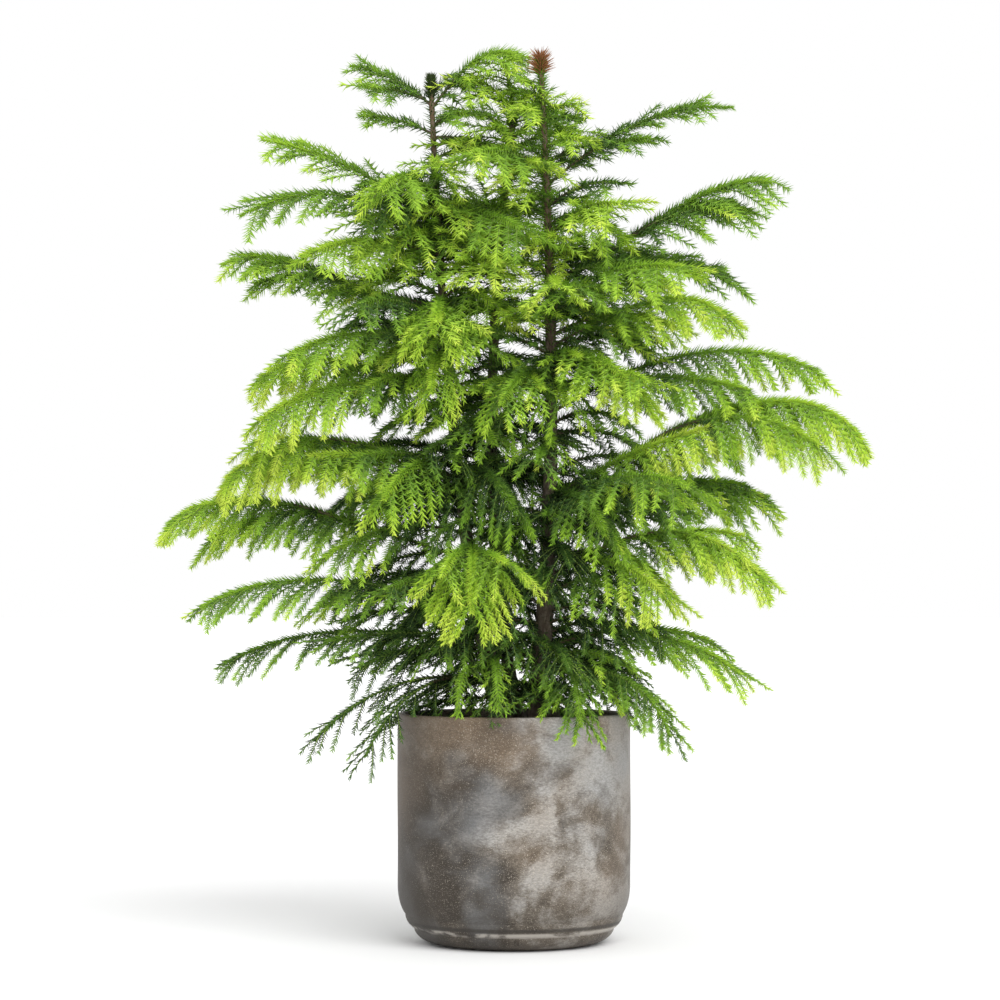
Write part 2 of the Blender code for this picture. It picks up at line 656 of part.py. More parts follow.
def build_foliage(collection, obstacles, wood, foliage):
    """The limbs and every frond's stalk come first, so that sprays give way to them, and then the sprays."""
    plans = []
    crossings = []
    for index, bough in enumerate(BOUGHS):
        rng = np.random.default_rng(SEED + index)
        curve = bough_curve(bough, rng)
        first = seat(bough, curve, obstacles)
        if bough.bare:
            limb = build_limb(bough, curve, first, collection)
            finish(limb, wood)
            obstacles.add_object(limb.name, limb)
            first = bough.bare
        fronds = [stretch(curve, first, 1.0)]
        fronds += [fork_curve(bough, curve, fork) for fork in bough.forks]
        stalks = []
        for frond in fronds:
            points, faces = rachis_blade(frond)
            crossings += [(bough.name, owner) for owner in obstacles.hits(bough.name, points, faces)]
            stalks.append(mesh_object(bough.name, points, faces, collection))
            obstacles.add(bough.name, points, faces)
        plans.append((bough, rng, fronds, stalks))
    if crossings:
        raise ValueError(f"These stalks cross: {crossings}")
    for bough, rng, fronds, stalks in plans:
        pieces = stalks[1:]
        for frond in fronds:
            pieces += build_sprays(bough, frond, FIRST_SPRAY, rng, obstacles, collection)
        fuse(stalks[0], pieces)
        finish(stalks[0], foliage)


def main():
    for obj in list(bpy.data.objects):
        bpy.data.objects.remove(obj)
    collection = bpy.data.collections.new("norfolk_island_pine")
    bpy.context.scene.collection.children.link(collection)
    glaze = plain_material("pot_glaze", (0.30, 0.27, 0.24), 0.55)
    earth = plain_material("soil", (0.045, 0.030, 0.020), 0.95)
    bark = plain_material("bark", (0.085, 0.060, 0.038), 0.85)
    foliage = plain_material("needles", (0.10, 0.22, 0.035), 0.60)
    obstacles = Obstacles()
    for build, material in ((build_pot, glaze), (build_soil, earth)):
        obj = build(collection)
        finish(obj, material)
        obstacles.add_object(obj.name, obj)
    for name, stem in STEMS.items():
        obj = build_stem(name, stem, collection)
        finish(obj, bark)
        obstacles.add_object(name, obj)
    build_foliage(collection, obstacles, bark, foliage)


if __name__ == "__main__":
    main()
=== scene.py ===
"""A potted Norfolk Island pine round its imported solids: bark, boughs, needles, a mottled pot, soil and a
pale studio.

Metres, +Z up, +Y away from the front. The origin is the centre of the pot's underside.
"""

import math
from typing import NamedTuple

import bpy
import numpy as np
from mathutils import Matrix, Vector


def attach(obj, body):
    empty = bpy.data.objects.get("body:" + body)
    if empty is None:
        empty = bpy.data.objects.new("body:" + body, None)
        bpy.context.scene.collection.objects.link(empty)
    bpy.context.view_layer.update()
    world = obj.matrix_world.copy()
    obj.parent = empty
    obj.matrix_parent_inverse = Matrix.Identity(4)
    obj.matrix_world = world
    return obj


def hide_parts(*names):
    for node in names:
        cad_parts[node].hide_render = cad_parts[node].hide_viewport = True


bl_info = {
    "name": "Potted Norfolk Island Pine",
    "version": (1, 0, 0),
    "blender": (4, 5, 0),
    "location": "View3D > Sidebar > Pine",
    "description": "Builds a potted Norfolk Island pine piece by piece",
    "category": "Object",
}

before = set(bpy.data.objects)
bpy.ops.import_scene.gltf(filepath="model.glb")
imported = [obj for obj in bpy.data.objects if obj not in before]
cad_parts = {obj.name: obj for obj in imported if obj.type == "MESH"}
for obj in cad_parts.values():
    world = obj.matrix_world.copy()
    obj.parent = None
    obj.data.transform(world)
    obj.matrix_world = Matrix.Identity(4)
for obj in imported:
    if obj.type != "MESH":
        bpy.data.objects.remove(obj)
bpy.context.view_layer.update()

UP = np.array([0.0, 0.0, 1.0])
GOLDEN_SHARE = 0.618

# Stems and boughs, as in the solids
SOIL_TOP = 0.243
FLARE_HEIGHT = 0.016
FLARE_GROWTH = 1.45
SEED = 82
TIER_SEED = 500
TOPS_SEED = 700
CURVE_POINTS = 33
FIRST_SPRAY = 0.16
FEWEST_SPRAYS = 3
SPRAY_STEP = 0.036
LONGEST_AT = 0.30
FIRST_LENGTH = 0.72
FALL_REACH = 0.76
SPLAY_ROOT = 72.0
SPLAY_TIP = 34.0
SWAY = 7.0
STRAIGHT_DOWN = -86.0
DROOP_SHAPE = 0.6
LENGTH_SPREAD = 0.10
PLACE_SPREAD = 0.15


class Stem(NamedTuple):
    """A stem rises from its foot to its tip along one smooth arc that leans by way of its waist."""

    foot: tuple
    waist: tuple
    tip: tuple
    foot_radius: float
    tip_radius: float


class Fork(NamedTuple):
    """A second frond that leaves a bough at the share at of its reach, turned sideways by turn degrees."""

    at: float
    turn: float
    reach: float
    rise: float
    dip: float


class Bough(NamedTuple):
    """A bough leaves its stem at a height and heading (0 right, 90 away, 180 left, 270 front), at the
    angle rise above level, and bends to the angle dip at its tip, later as late grows. Its longest side
    spray is twig long, hang is how far the sprays droop, last is the share of its reach where they end,
    and bare is the share without foliage. glow is how light its green is, from 0 to 1. A thin one has
    neither companions nor echoes."""

    name: str
    stem: str
    height: float
    heading: float
    reach: float
    rise: float
    dip: float
    late: float
    twig: float
    hang: float
    glow: float
    last: float = 0.93
    bare: float = 0.0
    thin: bool = False
    forks: tuple = ()


STEMS = {
    "left": Stem((-0.012, 0.012, SOIL_TOP), (-0.078, 0.020, 0.480), (-0.101, 0.012, 1.040), 0.0110, 0.0028),
    "right": Stem((0.026, -0.016, SOIL_TOP), (0.060, -0.012, 0.600), (0.032, -0.006, 1.062), 0.0120, 0.0028),
    "back": Stem((0.006, 0.044, SOIL_TOP), (-0.056, 0.062, 0.560), (-0.001, 0.050, 1.000), 0.0085, 0.0044),
}

# The glows of the boughs at the back are low, as painted shade of the crown's far side
BOUGHS = (
    # Left stem, from its top down
    Bough("left_crown_out", "left", 1.010, 176, 0.112, 46, 8, 1.0, 0.035, 0.1, 0.50, last=0.70,
          forks=(Fork(0.12, 31, 0.088, 16, -4),)),
    Bough("left_crown_in", "left", 1.008, 356, 0.140, 52, -55, 3.0, 0.045, 0.4, 0.60, last=0.90),
    Bough("left_collar_out", "left", 0.976, 187, 0.094, 29, -4, 1.0, 0.030, 0.1, 0.50, last=0.70),
    Bough("left_collar_in", "left", 0.972, 8, 0.112, 6, -34, 1.0, 0.050, 0.3, 0.55, last=0.85),
    Bough("left_upper_spear", "left", 0.862, 176, 0.245, 44, 10, 1.0, 0.050, 0.2, 0.62, last=0.78),
    Bough("left_upper_sickle", "left", 0.850, 191, 0.258, 36, -32, 1.2, 0.055, 0.3, 0.49, last=0.78),
    Bough("left_upper_front", "left", 0.890, 250, 0.175, 34, -34, 1.0, 0.060, 0.4, 0.66, last=0.90),
    Bough("left_upper_near", "left", 0.858, 312, 0.150, 24, -30, 1.0, 0.060, 0.4, 0.52, last=0.90),
    Bough("left_upper_back", "left", 0.860, 88, 0.200, 30, -15, 1.0, 0.060, 0.3, 0.35, last=0.85),
    Bough("left_shelf_front", "left", 0.824, 213, 0.170, 24, -22, 1.0, 0.060, 0.4, 0.72),
    Bough("left_shelf_out", "left", 0.736, 177, 0.294, 27, -30, 4.5, 0.065, 0.4, 0.60, last=0.84, bare=0.16),
    Bough("left_shelf_low", "left", 0.715, 203, 0.215, 22, -30, 1.0, 0.075, 0.6, 0.66),
    Bough("left_shelf_near", "left", 0.760, 268, 0.170, 20, -48, 1.0, 0.070, 0.7, 0.72),
    Bough("left_shelf_back", "left", 0.736, 118, 0.230, 24, -30, 1.0, 0.070, 0.5, 0.30),
    Bough("left_middle_out", "left", 0.655, 181, 0.245, 23, -40, 2.6, 0.085, 0.75, 0.80, thin=True,
          forks=(Fork(0.10, 26, 0.235, 14, -34),)),
    Bough("left_middle_front", "left", 0.694, 262, 0.165, 26, -58, 1.0, 0.075, 0.8, 0.74),
    Bough("left_waist_out", "left", 0.556, 184, 0.300, 27, -40, 1.5, 0.095, 0.85, 0.84, bare=0.16),
    Bough("left_waist_front", "left", 0.566, 238, 0.175, 24, -50, 1.0, 0.085, 0.85, 0.68),
    Bough("left_waist_near", "left", 0.560, 292, 0.180, 18, -50, 1.0, 0.085, 0.85, 0.36),
    Bough("left_waist_back", "left", 0.552, 132, 0.260, 20, -40, 1.0, 0.085, 0.7, 0.28),
    Bough("left_long_out", "left", 0.459, 176, 0.395, 18, -50, 4.5, 0.090, 0.75, 0.72, bare=0.16),
    Bough("left_fan_front", "left", 0.448, 272, 0.250, 32, -58, 1.0, 0.096, 0.72, 0.81),
    Bough("left_low_out", "left", 0.398, 190, 0.345, 16, -30, 2.0, 0.085, 0.7, 0.50),
    Bough("left_low_back", "left", 0.400, 112, 0.270, 18, -44, 1.0, 0.085, 0.7, 0.18),
    Bough("left_skirt_out", "left", 0.345, 174, 0.328, 18, -28, 1.3, 0.080, 0.65, 0.34),
    Bough("left_hem_out", "left", 0.312, 204, 0.252, 14, -46, 1.0, 0.085, 0.7, 0.18,
          forks=(Fork(0.12, 22, 0.205, 6, -60),)),
    # Right stem, from its top down
    Bough("right_crown_out", "right", 0.994, 2, 0.050, 8, -14, 1.0, 0.018, 0.1, 0.45, last=0.60),
    Bough("right_collar_out", "right", 0.911, 356, 0.250, 40, -8, 1.7, 0.040, 0.1, 0.42, last=0.72,
          forks=(Fork(0.20, -26, 0.098, 28, -6),)),
    Bough("right_collar_front", "right", 0.930, 222, 0.130, 24, -18, 1.0, 0.055, 0.3, 0.60, last=0.85),
    Bough("right_upper_near", "right", 0.850, 328, 0.098, 36, -55, 1.5, 0.050, 0.5, 0.62, last=0.90),
    Bough("right_upper_out", "right", 0.783, 6, 0.306, 34, -12, 5.0, 0.075, 0.4, 0.51, last=0.90, bare=0.16),
    Bough("right_upper_back", "right", 0.806, 30, 0.255, 20, -16, 1.0, 0.075, 0.4, 0.42),
    Bough("right_shelf_front", "right", 0.768, 322, 0.195, 30, -10, 1.0, 0.070, 0.5, 0.66),
    Bough("right_shelf_out", "right", 0.716, 346, 0.225, 27, -45, 3.0, 0.080, 0.6, 0.80),
    Bough("right_shelf_back", "right", 0.744, 62, 0.230, 24, -24, 1.0, 0.075, 0.5, 0.34),
    Bough("right_middle_out", "right", 0.636, 8, 0.354, 31, -26, 1.6, 0.085, 0.7, 0.66, bare=0.16, thin=True,
          forks=(Fork(0.22, -20, 0.175, 10, -18),)),
    Bough("right_middle_near", "right", 0.684, 306, 0.175, 30, -56, 1.0, 0.085, 0.75, 0.80),
    Bough("right_middle_front", "right", 0.672, 240, 0.145, 24, -52, 1.0, 0.080, 0.75, 0.60),
    Bough("right_long_out", "right", 0.531, 352, 0.415, 30, -58, 3.4, 0.100, 0.85, 0.78, bare=0.16),
    Bough("right_waist_low", "right", 0.510, 16, 0.290, 25, -14, 1.0, 0.090, 0.7, 0.55),
    Bough("right_waist_front", "right", 0.528, 294, 0.160, 24, -56, 1.0, 0.080, 0.8, 0.52),
    Bough("right_waist_back", "right", 0.530, 74, 0.280, 24, -40, 1.0, 0.090, 0.7, 0.28),
    Bough("right_low_out", "right", 0.436, 347, 0.290, 34, -52, 1.5, 0.090, 0.75, 0.86,
          forks=(Fork(0.12, -34, 0.160, 12, -38),)),
    Bough("right_hem_out", "right", 0.350, 342, 0.255, 26, -38, 1.0, 0.085, 0.7, 0.64,
          forks=(Fork(0.14, 32, 0.185, 20, -22),)),
    Bough("right_hem_back", "right", 0.352, 66, 0.240, 18, -44, 1.0, 0.085, 0.7, 0.22),
    Bough("right_hem_low", "right", 0.322, 322, 0.225, 12, -66, 1.5, 0.080, 0.7, 0.50,
          forks=(Fork(0.16, -44, 0.150, 10, -62),)),
    # Back stem, from its top down
    Bough("back_crown", "back", 1.000, 250, 0.078, 78, 30, 1.5, 0.055, 0.35, 0.74, last=0.92),
    Bough("back_upper_left", "back", 0.820, 142, 0.190, 34, -10, 1.0, 0.065, 0.3, 0.48),
    Bough("back_middle", "back", 0.620, 96, 0.250, 26, -36, 1.0, 0.080, 0.6, 0.25),
)

# Needle greens from deep shade to new growth, then the dry and the dark tuft, as linear colours by name.
# The lightest greens are new growth and also painted light, for the light that shines through the needles
GREENS = (
    ("needle_deep", (0.012, 0.030, 0.005)),
    ("needle_shade", (0.023, 0.056, 0.011)),
    ("needle_dark", (0.046, 0.104, 0.018)),
    ("needle_old", (0.086, 0.180, 0.021)),
    ("needle_mid", (0.145, 0.285, 0.022)),
    ("needle_fresh", (0.222, 0.400, 0.029)),
    ("needle_light", (0.315, 0.510, 0.038)),
    ("needle_lime", (0.415, 0.605, 0.050)),
    ("needle_yellow", (0.530, 0.670, 0.078)),
)
DRY = ("needle_dry", (0.290, 0.130, 0.055))
DUSKY = ("needle_dusky", (0.050, 0.075, 0.024))
TONES = (*GREENS, DRY, DUSKY)

# How light a green is counts from 0 to 1 along GREENS. Heights in metres between which a bough counts as a
# high one, as a low one for its droop and for its shade, and as one of the hem
HIGH = (0.66, 0.84)
LOW_DROOP = (0.52, 0.36)
LOW_SHADE = (0.62, 0.30)
HEM = (0.345, 0.315)
SPARSE_HEM = (0.36, 0.33)

# Fine sprays between the solids' own: where the first and the last stand, how far apart, how they crowd
# towards the tip, and how their length varies
FIRST_FINE = 0.06
LAST_FINE = 0.975
PAST_LAST = 0.05
PAST_LAST_HIGH = 0.08
FINE_STEP = 0.0086
INNER_FINE_STEP = 0.0126
FAN_STEP = 0.7
HEM_STEP = 0.7
PALE_STEP = (1.28, 0.45)
FINE_PLACE = (0.15, 0.85)
CROWDING = 0.68
FINE_POWER = 4
FINE_LENGTH = (0.68, 1.06)
LONGER_HIGH = 0.30
SHORTER_HEM = 0.25

# How the loose fine sprays stand: opening angles on a hanging and on a level bough, how far they stray in
# degrees, how much less they hang, how much they rise first, how soon they fall, and how they tilt
LOOSE_SPLAY = 48.0
LEVEL_SPLAY = 46
SOLID_STRAY = 4
LOOSE_STRAY = 8
BEND = 1.6
LOW_LESS_HANG = 0.30
TIP_LESS_HANG = 0.30
HANG_STRAY = 0.06
LOOSE_HANG_STRAY = 0.10
MOST_HANG = 0.95
FIRST_RISE = (4, 34)
SOONER = 0.22
TILT = 8.0
TILT_HIGH = 20.0
TILT_END = 10.0

# Companions beside a longer bough: the shortest bough that has them, how much shorter and darker they are
# in front of the lower stem, how much shorter near the top, and the ranges of their share of the droop,
# their shift up or down, turn, share of the reach, added rise and share of the glow. That share stays below
# 1, so that they are darker than the longer bough as painted shade between the crown's shelves
COMPANION_REACH = 0.13
COMPANION_FRONT = 0.28
COMPANION_BELOW = (0.72, 0.60)
COMPANION_CROWN = 0.30
COMPANION_ABOVE = (0.76, 0.86)
COMPANION_DROOP = (0.3, 1.0)
COMPANION_SHIFT = (0.010, 0.032)
COMPANION_TURN = (20, 44)
COMPANION_SHARE = (0.46, 0.68)
COMPANION_RISE = (-8, 12)
COMPANION_SHADED_GLOW = (0.52, 0.96)
COMPANION_LAST = 0.90

# Echoes of a long bough: the reach, height and glow from which a bough has them, and for each its place
# along the bough, its turn and its share of the dip. They end together, rise a little more, and are darker
# and narrower.
ECHO_REACH = 0.28
ECHO_HEIGHT = 0.42
ECHO_GLOW = 0.805
ECHOES = ((0.34, -9, 0.62), (0.44, 10, 0.25))
ECHO_END = 0.86
ECHO_LIFT = 5
ECHO_DARKER = 0.04
ECHO_TWIG = 0.85
ECHO_STEP = 1.2
ECHO_WIDER = 6

# Needles: half the spread of their two ranks in radians on side sprays, on boughs and all round, the
# base's distance from the shoot's axis, how much wider they are on the stems' tops, and how they vary and
# shorten
FLAT_RANKS = 0.85
FULL_RANKS = 1.30
ROUND_RANKS = math.pi / 2
ROOT_OFFSET = 0.0007
STEM_NEEDLE_WIDTH = 1.25
FEWEST_NEEDLES = 4
NEEDLE_CROWDING = 0.82
NEEDLE_PLACE = (0.1, 0.9)
NEEDLE_TURN = 0.2
NEEDLE_OPENING = 5
NEEDLE_LENGTH = (0.90, 1.06)
TIP_SHORTER = 0.40
TIP_FROM = 0.84
NEW_GROWTH_FROM = 0.15
TONE_SPREAD = 0.035

# Short boughs between the whorls: seed, reach at the top and in the middle, and the tones below, in the
# middle and above, each with what facing the front adds. The tones are painted shade low on the stem and
# painted light high up and in front
INNER_SEED = 900
INNER_REACH = 0.165
INNER_TOP = 0.100
INNER_DOWN = (0.99, 0.62)
INNER_ABOVE = (0.42, 0.85)
INNER_MIDDLE = (0.50, 0.70)
TONE_BELOW = (0.10, 0.06)
TONE_MIDDLE = (0.26, 0.34)
TONE_ABOVE = (0.62, 0.12)
TONE_STRAY = (-0.08, 0.20)
INNER_LIGHTEST = 0.78
FRONT_PULL = 0.6
GOLDEN_ANGLE = 137.5

# Heights that part a stem's needles into pieces, from the top down
TIER_HEIGHTS = {"left": (0.80, 0.60, 0.45), "right": (0.76, 0.60, 0.45), "back": (0.60,)}


class Filling(NamedTuple):
    """Short boughs on a stem from one height to another, a step apart, scaled by size, raised by lift
    degrees, and drawn to the front as front goes from 0 to 1."""

    stem: str
    low: float
    high: float
    step: float
    size: float = 1.0
    lift: float = 0.0
    front: float = 0.0


FILLINGS = (
    Filling("left", 0.290, 0.440, 0.015),
    Filling("left", 0.440, 0.950, 0.024),
    Filling("right", 0.290, 0.440, 0.015),
    Filling("right", 0.440, 0.875, 0.024),
    Filling("right", 0.500, 0.900, 0.030, 0.62, 10.0, 0.8),
    Filling("left", 0.460, 0.840, 0.034, 0.62, 8.0, 0.8),
    Filling("right", 0.300, 0.480, 0.026, 0.85, 6.0, 0.7),
    Filling("left", 0.300, 0.440, 0.035, 0.80, 6.0, 0.7),
    Filling("right", 0.925, 1.030, 0.015, 0.55, 8.0),
    Filling("back", 0.290, 0.440, 0.018),
    Filling("back", 0.440, 0.800, 0.025),
    Filling("back", 0.800, 0.955, 0.017, 1.15, 6.0),
    Filling("back", 0.955, 0.998, 0.008, 0.95, 32.0),
)

# Boughs in front of the solids' own: a curtain before the long light bough of the left and the right stem,
# and two slender ones whose tips hang over the pot's rim
FRONT_BOUGHS = (
    Bough("right_long_curtain", "right", 0.530, 344, 0.215, 34, 14, 1.0, 0.070, 0.95, 0.92),
    Bough("left_waist_curtain", "left", 0.545, 205, 0.200, 30, -8, 1.0, 0.064, 0.92, 0.78),
    Bough("left_rim_out", "left", 0.316, 255, 0.215, 14, -82, 2.6, 0.034, 0.80, 0.52),
    Bough("left_rim_in", "left", 0.330, 274, 0.205, 10, -80, 2.6, 0.032, 0.80, 0.52),
)


class StemTop(NamedTuple):
    """A stem's bare top has needles from the share start, gap apart, in the green tone. Round its bud
    stands a tuft that starts depth below the tip, with needles of the given length, opening angle and
    colour kind, as in Shoots."""

    start: float
    gap: float
    tone: float
    depth: float
    needle: float
    open: float
    kind: int


STEM_TOPS = {
    "left": StemTop(0.72, 0.0008, 0.30, 0.022, 0.0138, 56, 2),
    "right": StemTop(0.52, 0.00036, 0.44, 0.016, 0.0205, 72, 1),
    "back": StemTop(0.62, 0.0006, 0.56, 0.012, 0.0120, 60, 0),
}


def unit(vectors):
    """Vectors divided by their lengths."""
    return vectors / np.linalg.norm(vectors, axis=-1, keepdims=True)


def smoothstep(low, high, values):
    """3t^2 - 2t^3 of the share t of the way from low to high, held at 0 and 1 outside."""
    share = np.clip((values - low) / (high - low), 0.0, 1.0)
    return share * share * (3 - 2 * share)


class Runs(NamedTuple):
    """Curves of the same number of points: their points, unit directions and level lines across, and
    lengths."""

    points: np.ndarray
    directions: np.ndarray
    across: np.ndarray
    lengths: np.ndarray


def sweep(starts, headings, pitches, lengths):
    """Curves that have the given headings and pitches, in degrees, at their points. Each point is the one
    before plus the step times the mean of the two directions."""
    turn = np.radians(headings)
    climb = np.radians(pitches)
    level = np.cos(climb)
    directions = np.stack([level * np.cos(turn), level * np.sin(turn), np.sin(climb)], axis=-1)
    across = np.stack([-np.sin(turn), np.cos(turn), np.zeros_like(turn)], axis=-1)
    step = np.asarray(lengths)[:, None, None] / (turn.shape[1] - 1)
    moves = (directions[:, 1:] + directions[:, :-1]) / 2 * step
    points = np.concatenate([np.zeros_like(moves[:, :1]), np.cumsum(moves, axis=1)], axis=1)
    return Runs(starts[:, None] + points, directions, across, np.asarray(lengths, float))


def read(run, shares):
    """The points, directions and level lines across of the first curve at the given shares of its
    length."""
    place = np.asarray(shares) * (run.points.shape[1] - 1)
    low = np.clip(place.astype(int), 0, run.points.shape[1] - 2)
    part = (place - low)[..., None]
    rows = [(rows[0, low] * (1 - part) + rows[0, low + 1] * part) for rows in run[:3]]
    return rows[0], unit(rows[1]), unit(rows[2])


def stem_run(stem):
    """A quadratic arc from the top of the root flare to the tip."""
    share = np.linspace(0.0, 1.0, CURVE_POINTS)[:, None]
    foot, waist, tip = (np.array(point) for point in (stem.foot, stem.waist, stem.tip))
    foot = foot + UP * FLARE_HEIGHT
    points = (1 - share) ** 2 * foot + 2 * share * (1 - share) * waist + share ** 2 * tip
    directions = unit(2 * (1 - share) * (waist - foot) + 2 * share * (tip - waist))
    across = unit(np.cross(directions, (0.0, -1.0, 0.0)))
    length = np.linalg.norm(np.diff(points, axis=0), axis=1).sum()
    return Runs(points[None], directions[None], across[None], np.array([length]))


def stem_share(stem, height):
    """The share of a stem's arc at which it passes the height."""
    return float(np.interp(height, stem_run(stem).points[0, :, 2], np.linspace(0.0, 1.0, CURVE_POINTS)))


def bough_run(bough, rng):
    """A bough's curve: its heading sways evenly, and its pitch goes from rise to dip as the share to the
    power late."""
    share = np.linspace(0.0, 1.0, CURVE_POINTS)[None]
    start = read(stem_run(STEMS[bough.stem]), [stem_share(STEMS[bough.stem], bough.height)])[0]
    headings = bough.heading + rng.uniform(-SWAY, SWAY) * share
    pitches = bough.rise + (bough.dip - bough.rise) * share ** bough.late
    return sweep(start, headings, pitches, [bough.reach])


def fork_run(bough, run, fork):
    """A fork's curve: its heading is level and straight, and its pitch goes evenly from rise to dip."""
    share = np.linspace(0.0, 1.0, CURVE_POINTS)[None]
    start = read(run, [fork.at])[0]
    headings = np.full_like(share, bough.heading + fork.turn)
    return sweep(start, headings, fork.rise + (fork.dip - fork.rise) * share, [fork.reach])


def companions(bough, rng):
    """Two shorter boughs that leave the stem beside a longer one, a little above it and a little below,
    and droop less than it does."""
    if bough.reach <= COMPANION_REACH:
        return []
    front = max(0.0, -math.sin(math.radians(bough.heading)))
    facing = 1 - COMPANION_FRONT * front * float(smoothstep(*COMPANION_BELOW, bough.height))
    crown = 1 - COMPANION_CROWN * float(smoothstep(*COMPANION_ABOVE, bough.height))
    beside = []
    # Companions get darker greens than the longer bough, as painted shade between the crown's shelves
    for side in (-1, 1):
        droop = rng.uniform(*COMPANION_DROOP)
        beside.append(bough._replace(
            height=bough.height + side * rng.uniform(*COMPANION_SHIFT),
            heading=bough.heading + side * rng.uniform(*COMPANION_TURN),
            reach=bough.reach * rng.uniform(*COMPANION_SHARE) * facing * crown,
            rise=bough.rise + rng.uniform(*COMPANION_RISE), dip=min(bough.dip, -10) * droop, late=1.0,
            hang=bough.hang * (0.4 + 0.6 * droop), glow=bough.glow * rng.uniform(*COMPANION_SHADED_GLOW) * facing,
            last=COMPANION_LAST, bare=0.0, forks=()))
    return beside


def echoes(bough, run):
    """Two fronds that leave a long or a very light bough beyond its first third, one in front and one
    behind, and droop less at their tips than it does, so that its end is a full fan. They turn wider on a
    shorter bough."""
    slight = bough.reach < ECHO_REACH and bough.glow < ECHO_GLOW
    if slight or bough.height < ECHO_HEIGHT:
        return []
    wider = max(1.0, ECHO_REACH / bough.reach) ** ECHO_WIDER
    darker = bough._replace(glow=bough.glow - ECHO_DARKER, twig=bough.twig * ECHO_TWIG)
    fans = []
    for at, turn, dip in ECHOES:
        rise = bough.rise + (bough.dip - bough.rise) * at ** bough.late
        fork = Fork(at, turn * wider, bough.reach * (ECHO_END - at), rise + ECHO_LIFT, bough.dip * dip)
        fans.append((darker, fork_run(bough, run, fork), 0.0, FINE_STEP * ECHO_STEP))
    return fans


def spray_profile(shares, power):
    """A side spray's share of the longest one's length. It grows evenly from FIRST_LENGTH to 1 at
    LONGEST_AT of the reach, and from there falls as on a superellipse of the power, which is an ellipse at
    2."""
    past = np.clip((shares - LONGEST_AT) / FALL_REACH, 0.0, 1.0)
    growing = FIRST_LENGTH + (1 - FIRST_LENGTH) * shares / LONGEST_AT
    return np.where(shares < LONGEST_AT, growing, np.sqrt(1 - past ** power))


def spray_plan(bough, reach, rng):
    """Shares, sides and lengths of the side sprays that a frond's solid has."""
    count = max(FEWEST_SPRAYS, round((bough.last - FIRST_SPRAY) * reach / SPRAY_STEP))
    spacing = (bough.last - FIRST_SPRAY) / (count - 1)
    shares = np.linspace(FIRST_SPRAY, bough.last, count)
    shares = shares + rng.uniform(-PLACE_SPREAD, PLACE_SPREAD, count) * spacing
    spread = rng.uniform(1 - LENGTH_SPREAD, 1 + LENGTH_SPREAD, count)
    lengths = bough.twig * spray_profile(shares, 2) * spread
    return shares, np.where(np.arange(count) % 2 == 0, 1, -1), lengths


def fine_plan(bough, reach, step, rng):
    """Shares, sides and lengths of the finer sprays between the solids' own. They stand closer towards the
    tip and keep more of their length there. They are longer on the high boughs, and shorter on those of
    the hem."""
    high = float(smoothstep(*HIGH, bough.height))
    hem = float(smoothstep(*HEM, bough.height))
    last = min(bough.last + PAST_LAST + PAST_LAST_HIGH * high, LAST_FINE)
    spacing = step * (PALE_STEP[0] - PALE_STEP[1] * bough.glow)
    count = max(FEWEST_SPRAYS, round((last - FIRST_FINE) * reach / spacing))
    place = (np.arange(count) + rng.uniform(*FINE_PLACE, count)) / count
    shares = FIRST_FINE + (last - FIRST_FINE) * place ** CROWDING
    longest = bough.twig * (1 + LONGER_HIGH * high - SHORTER_HEM * hem)
    lengths = longest * spray_profile(shares, FINE_POWER) * rng.uniform(*FINE_LENGTH, count)
    return shares, np.where(np.arange(count) % 2 == 0, -1, 1), lengths


def spray_runs(bough, run, shares, sides, lengths, loose, rng):
    """Side sprays leave the bough at the splay, and their pitch falls towards straight down as far as hang
    says. Loose ones, at 1, stray further from the rule than the solids' own, at 0: they fall sooner, rise
    first where they then hang, hang less on the lowest boughs, and tilt so that those on the far side
    stand higher. The level line across a spray turns with hang, so that its two ranks of needles show from
    above and from the front."""
    points, directions, beside = read(run, shares)
    flat = np.degrees(np.arctan2(directions[:, 1], directions[:, 0]))
    low = float(smoothstep(*LOW_DROOP, bough.height))
    high = float(smoothstep(*HIGH, bough.height))
    hanging = bough.hang * (1 - low)
    stray = SOLID_STRAY + LOOSE_STRAY * loose
    splay = SPLAY_ROOT + (SPLAY_TIP - SPLAY_ROOT) * shares
    opener = hanging * LOOSE_SPLAY + (1 - hanging) * LEVEL_SPLAY
    splay = splay + (opener - splay) * loose + rng.uniform(-1, 1, len(shares)) * stray
    start = np.degrees(np.arcsin(directions[:, 2] * np.cos(np.radians(splay))))
    less = 1 - TIP_LESS_HANG * loose * smoothstep(0.60, 1.0, shares)
    hang = bough.hang * (1 - LOW_LESS_HANG * low) * less
    hang = hang + rng.uniform(-1, 1, len(shares)) * (HANG_STRAY + LOOSE_HANG_STRAY * loose)
    hang = np.clip(hang, 0.0, MOST_HANG)
    end = start + (STRAIGHT_DOWN - start) * hang
    end_tilt = TILT_END * smoothstep(0.50, 0.90, shares)
    tilt = (TILT + TILT_HIGH * high + end_tilt) * np.sin(np.radians(flat + sides * splay))
    start = start + loose * (tilt + hanging * rng.uniform(*FIRST_RISE, len(shares)) * (1 - shares))
    end = end + loose * tilt * (1 - hang)
    steps = np.linspace(0.0, 1.0, CURVE_POINTS)[None]
    shape = DROOP_SHAPE - SOONER * loose * bough.hang
    pitches = start[:, None] + (end - start)[:, None] * steps ** shape[:, None]
    bend = rng.uniform(-1, 1, len(shares)) * stray * BEND
    sprays = sweep(points, (flat + sides * splay)[:, None] + bend[:, None] * steps, pitches, lengths)
    facing = UP * (1 - hang)[:, None] + beside * (sides * hang)[:, None]
    return sprays._replace(across=unit(np.cross(facing[:, None], sprays.directions)))


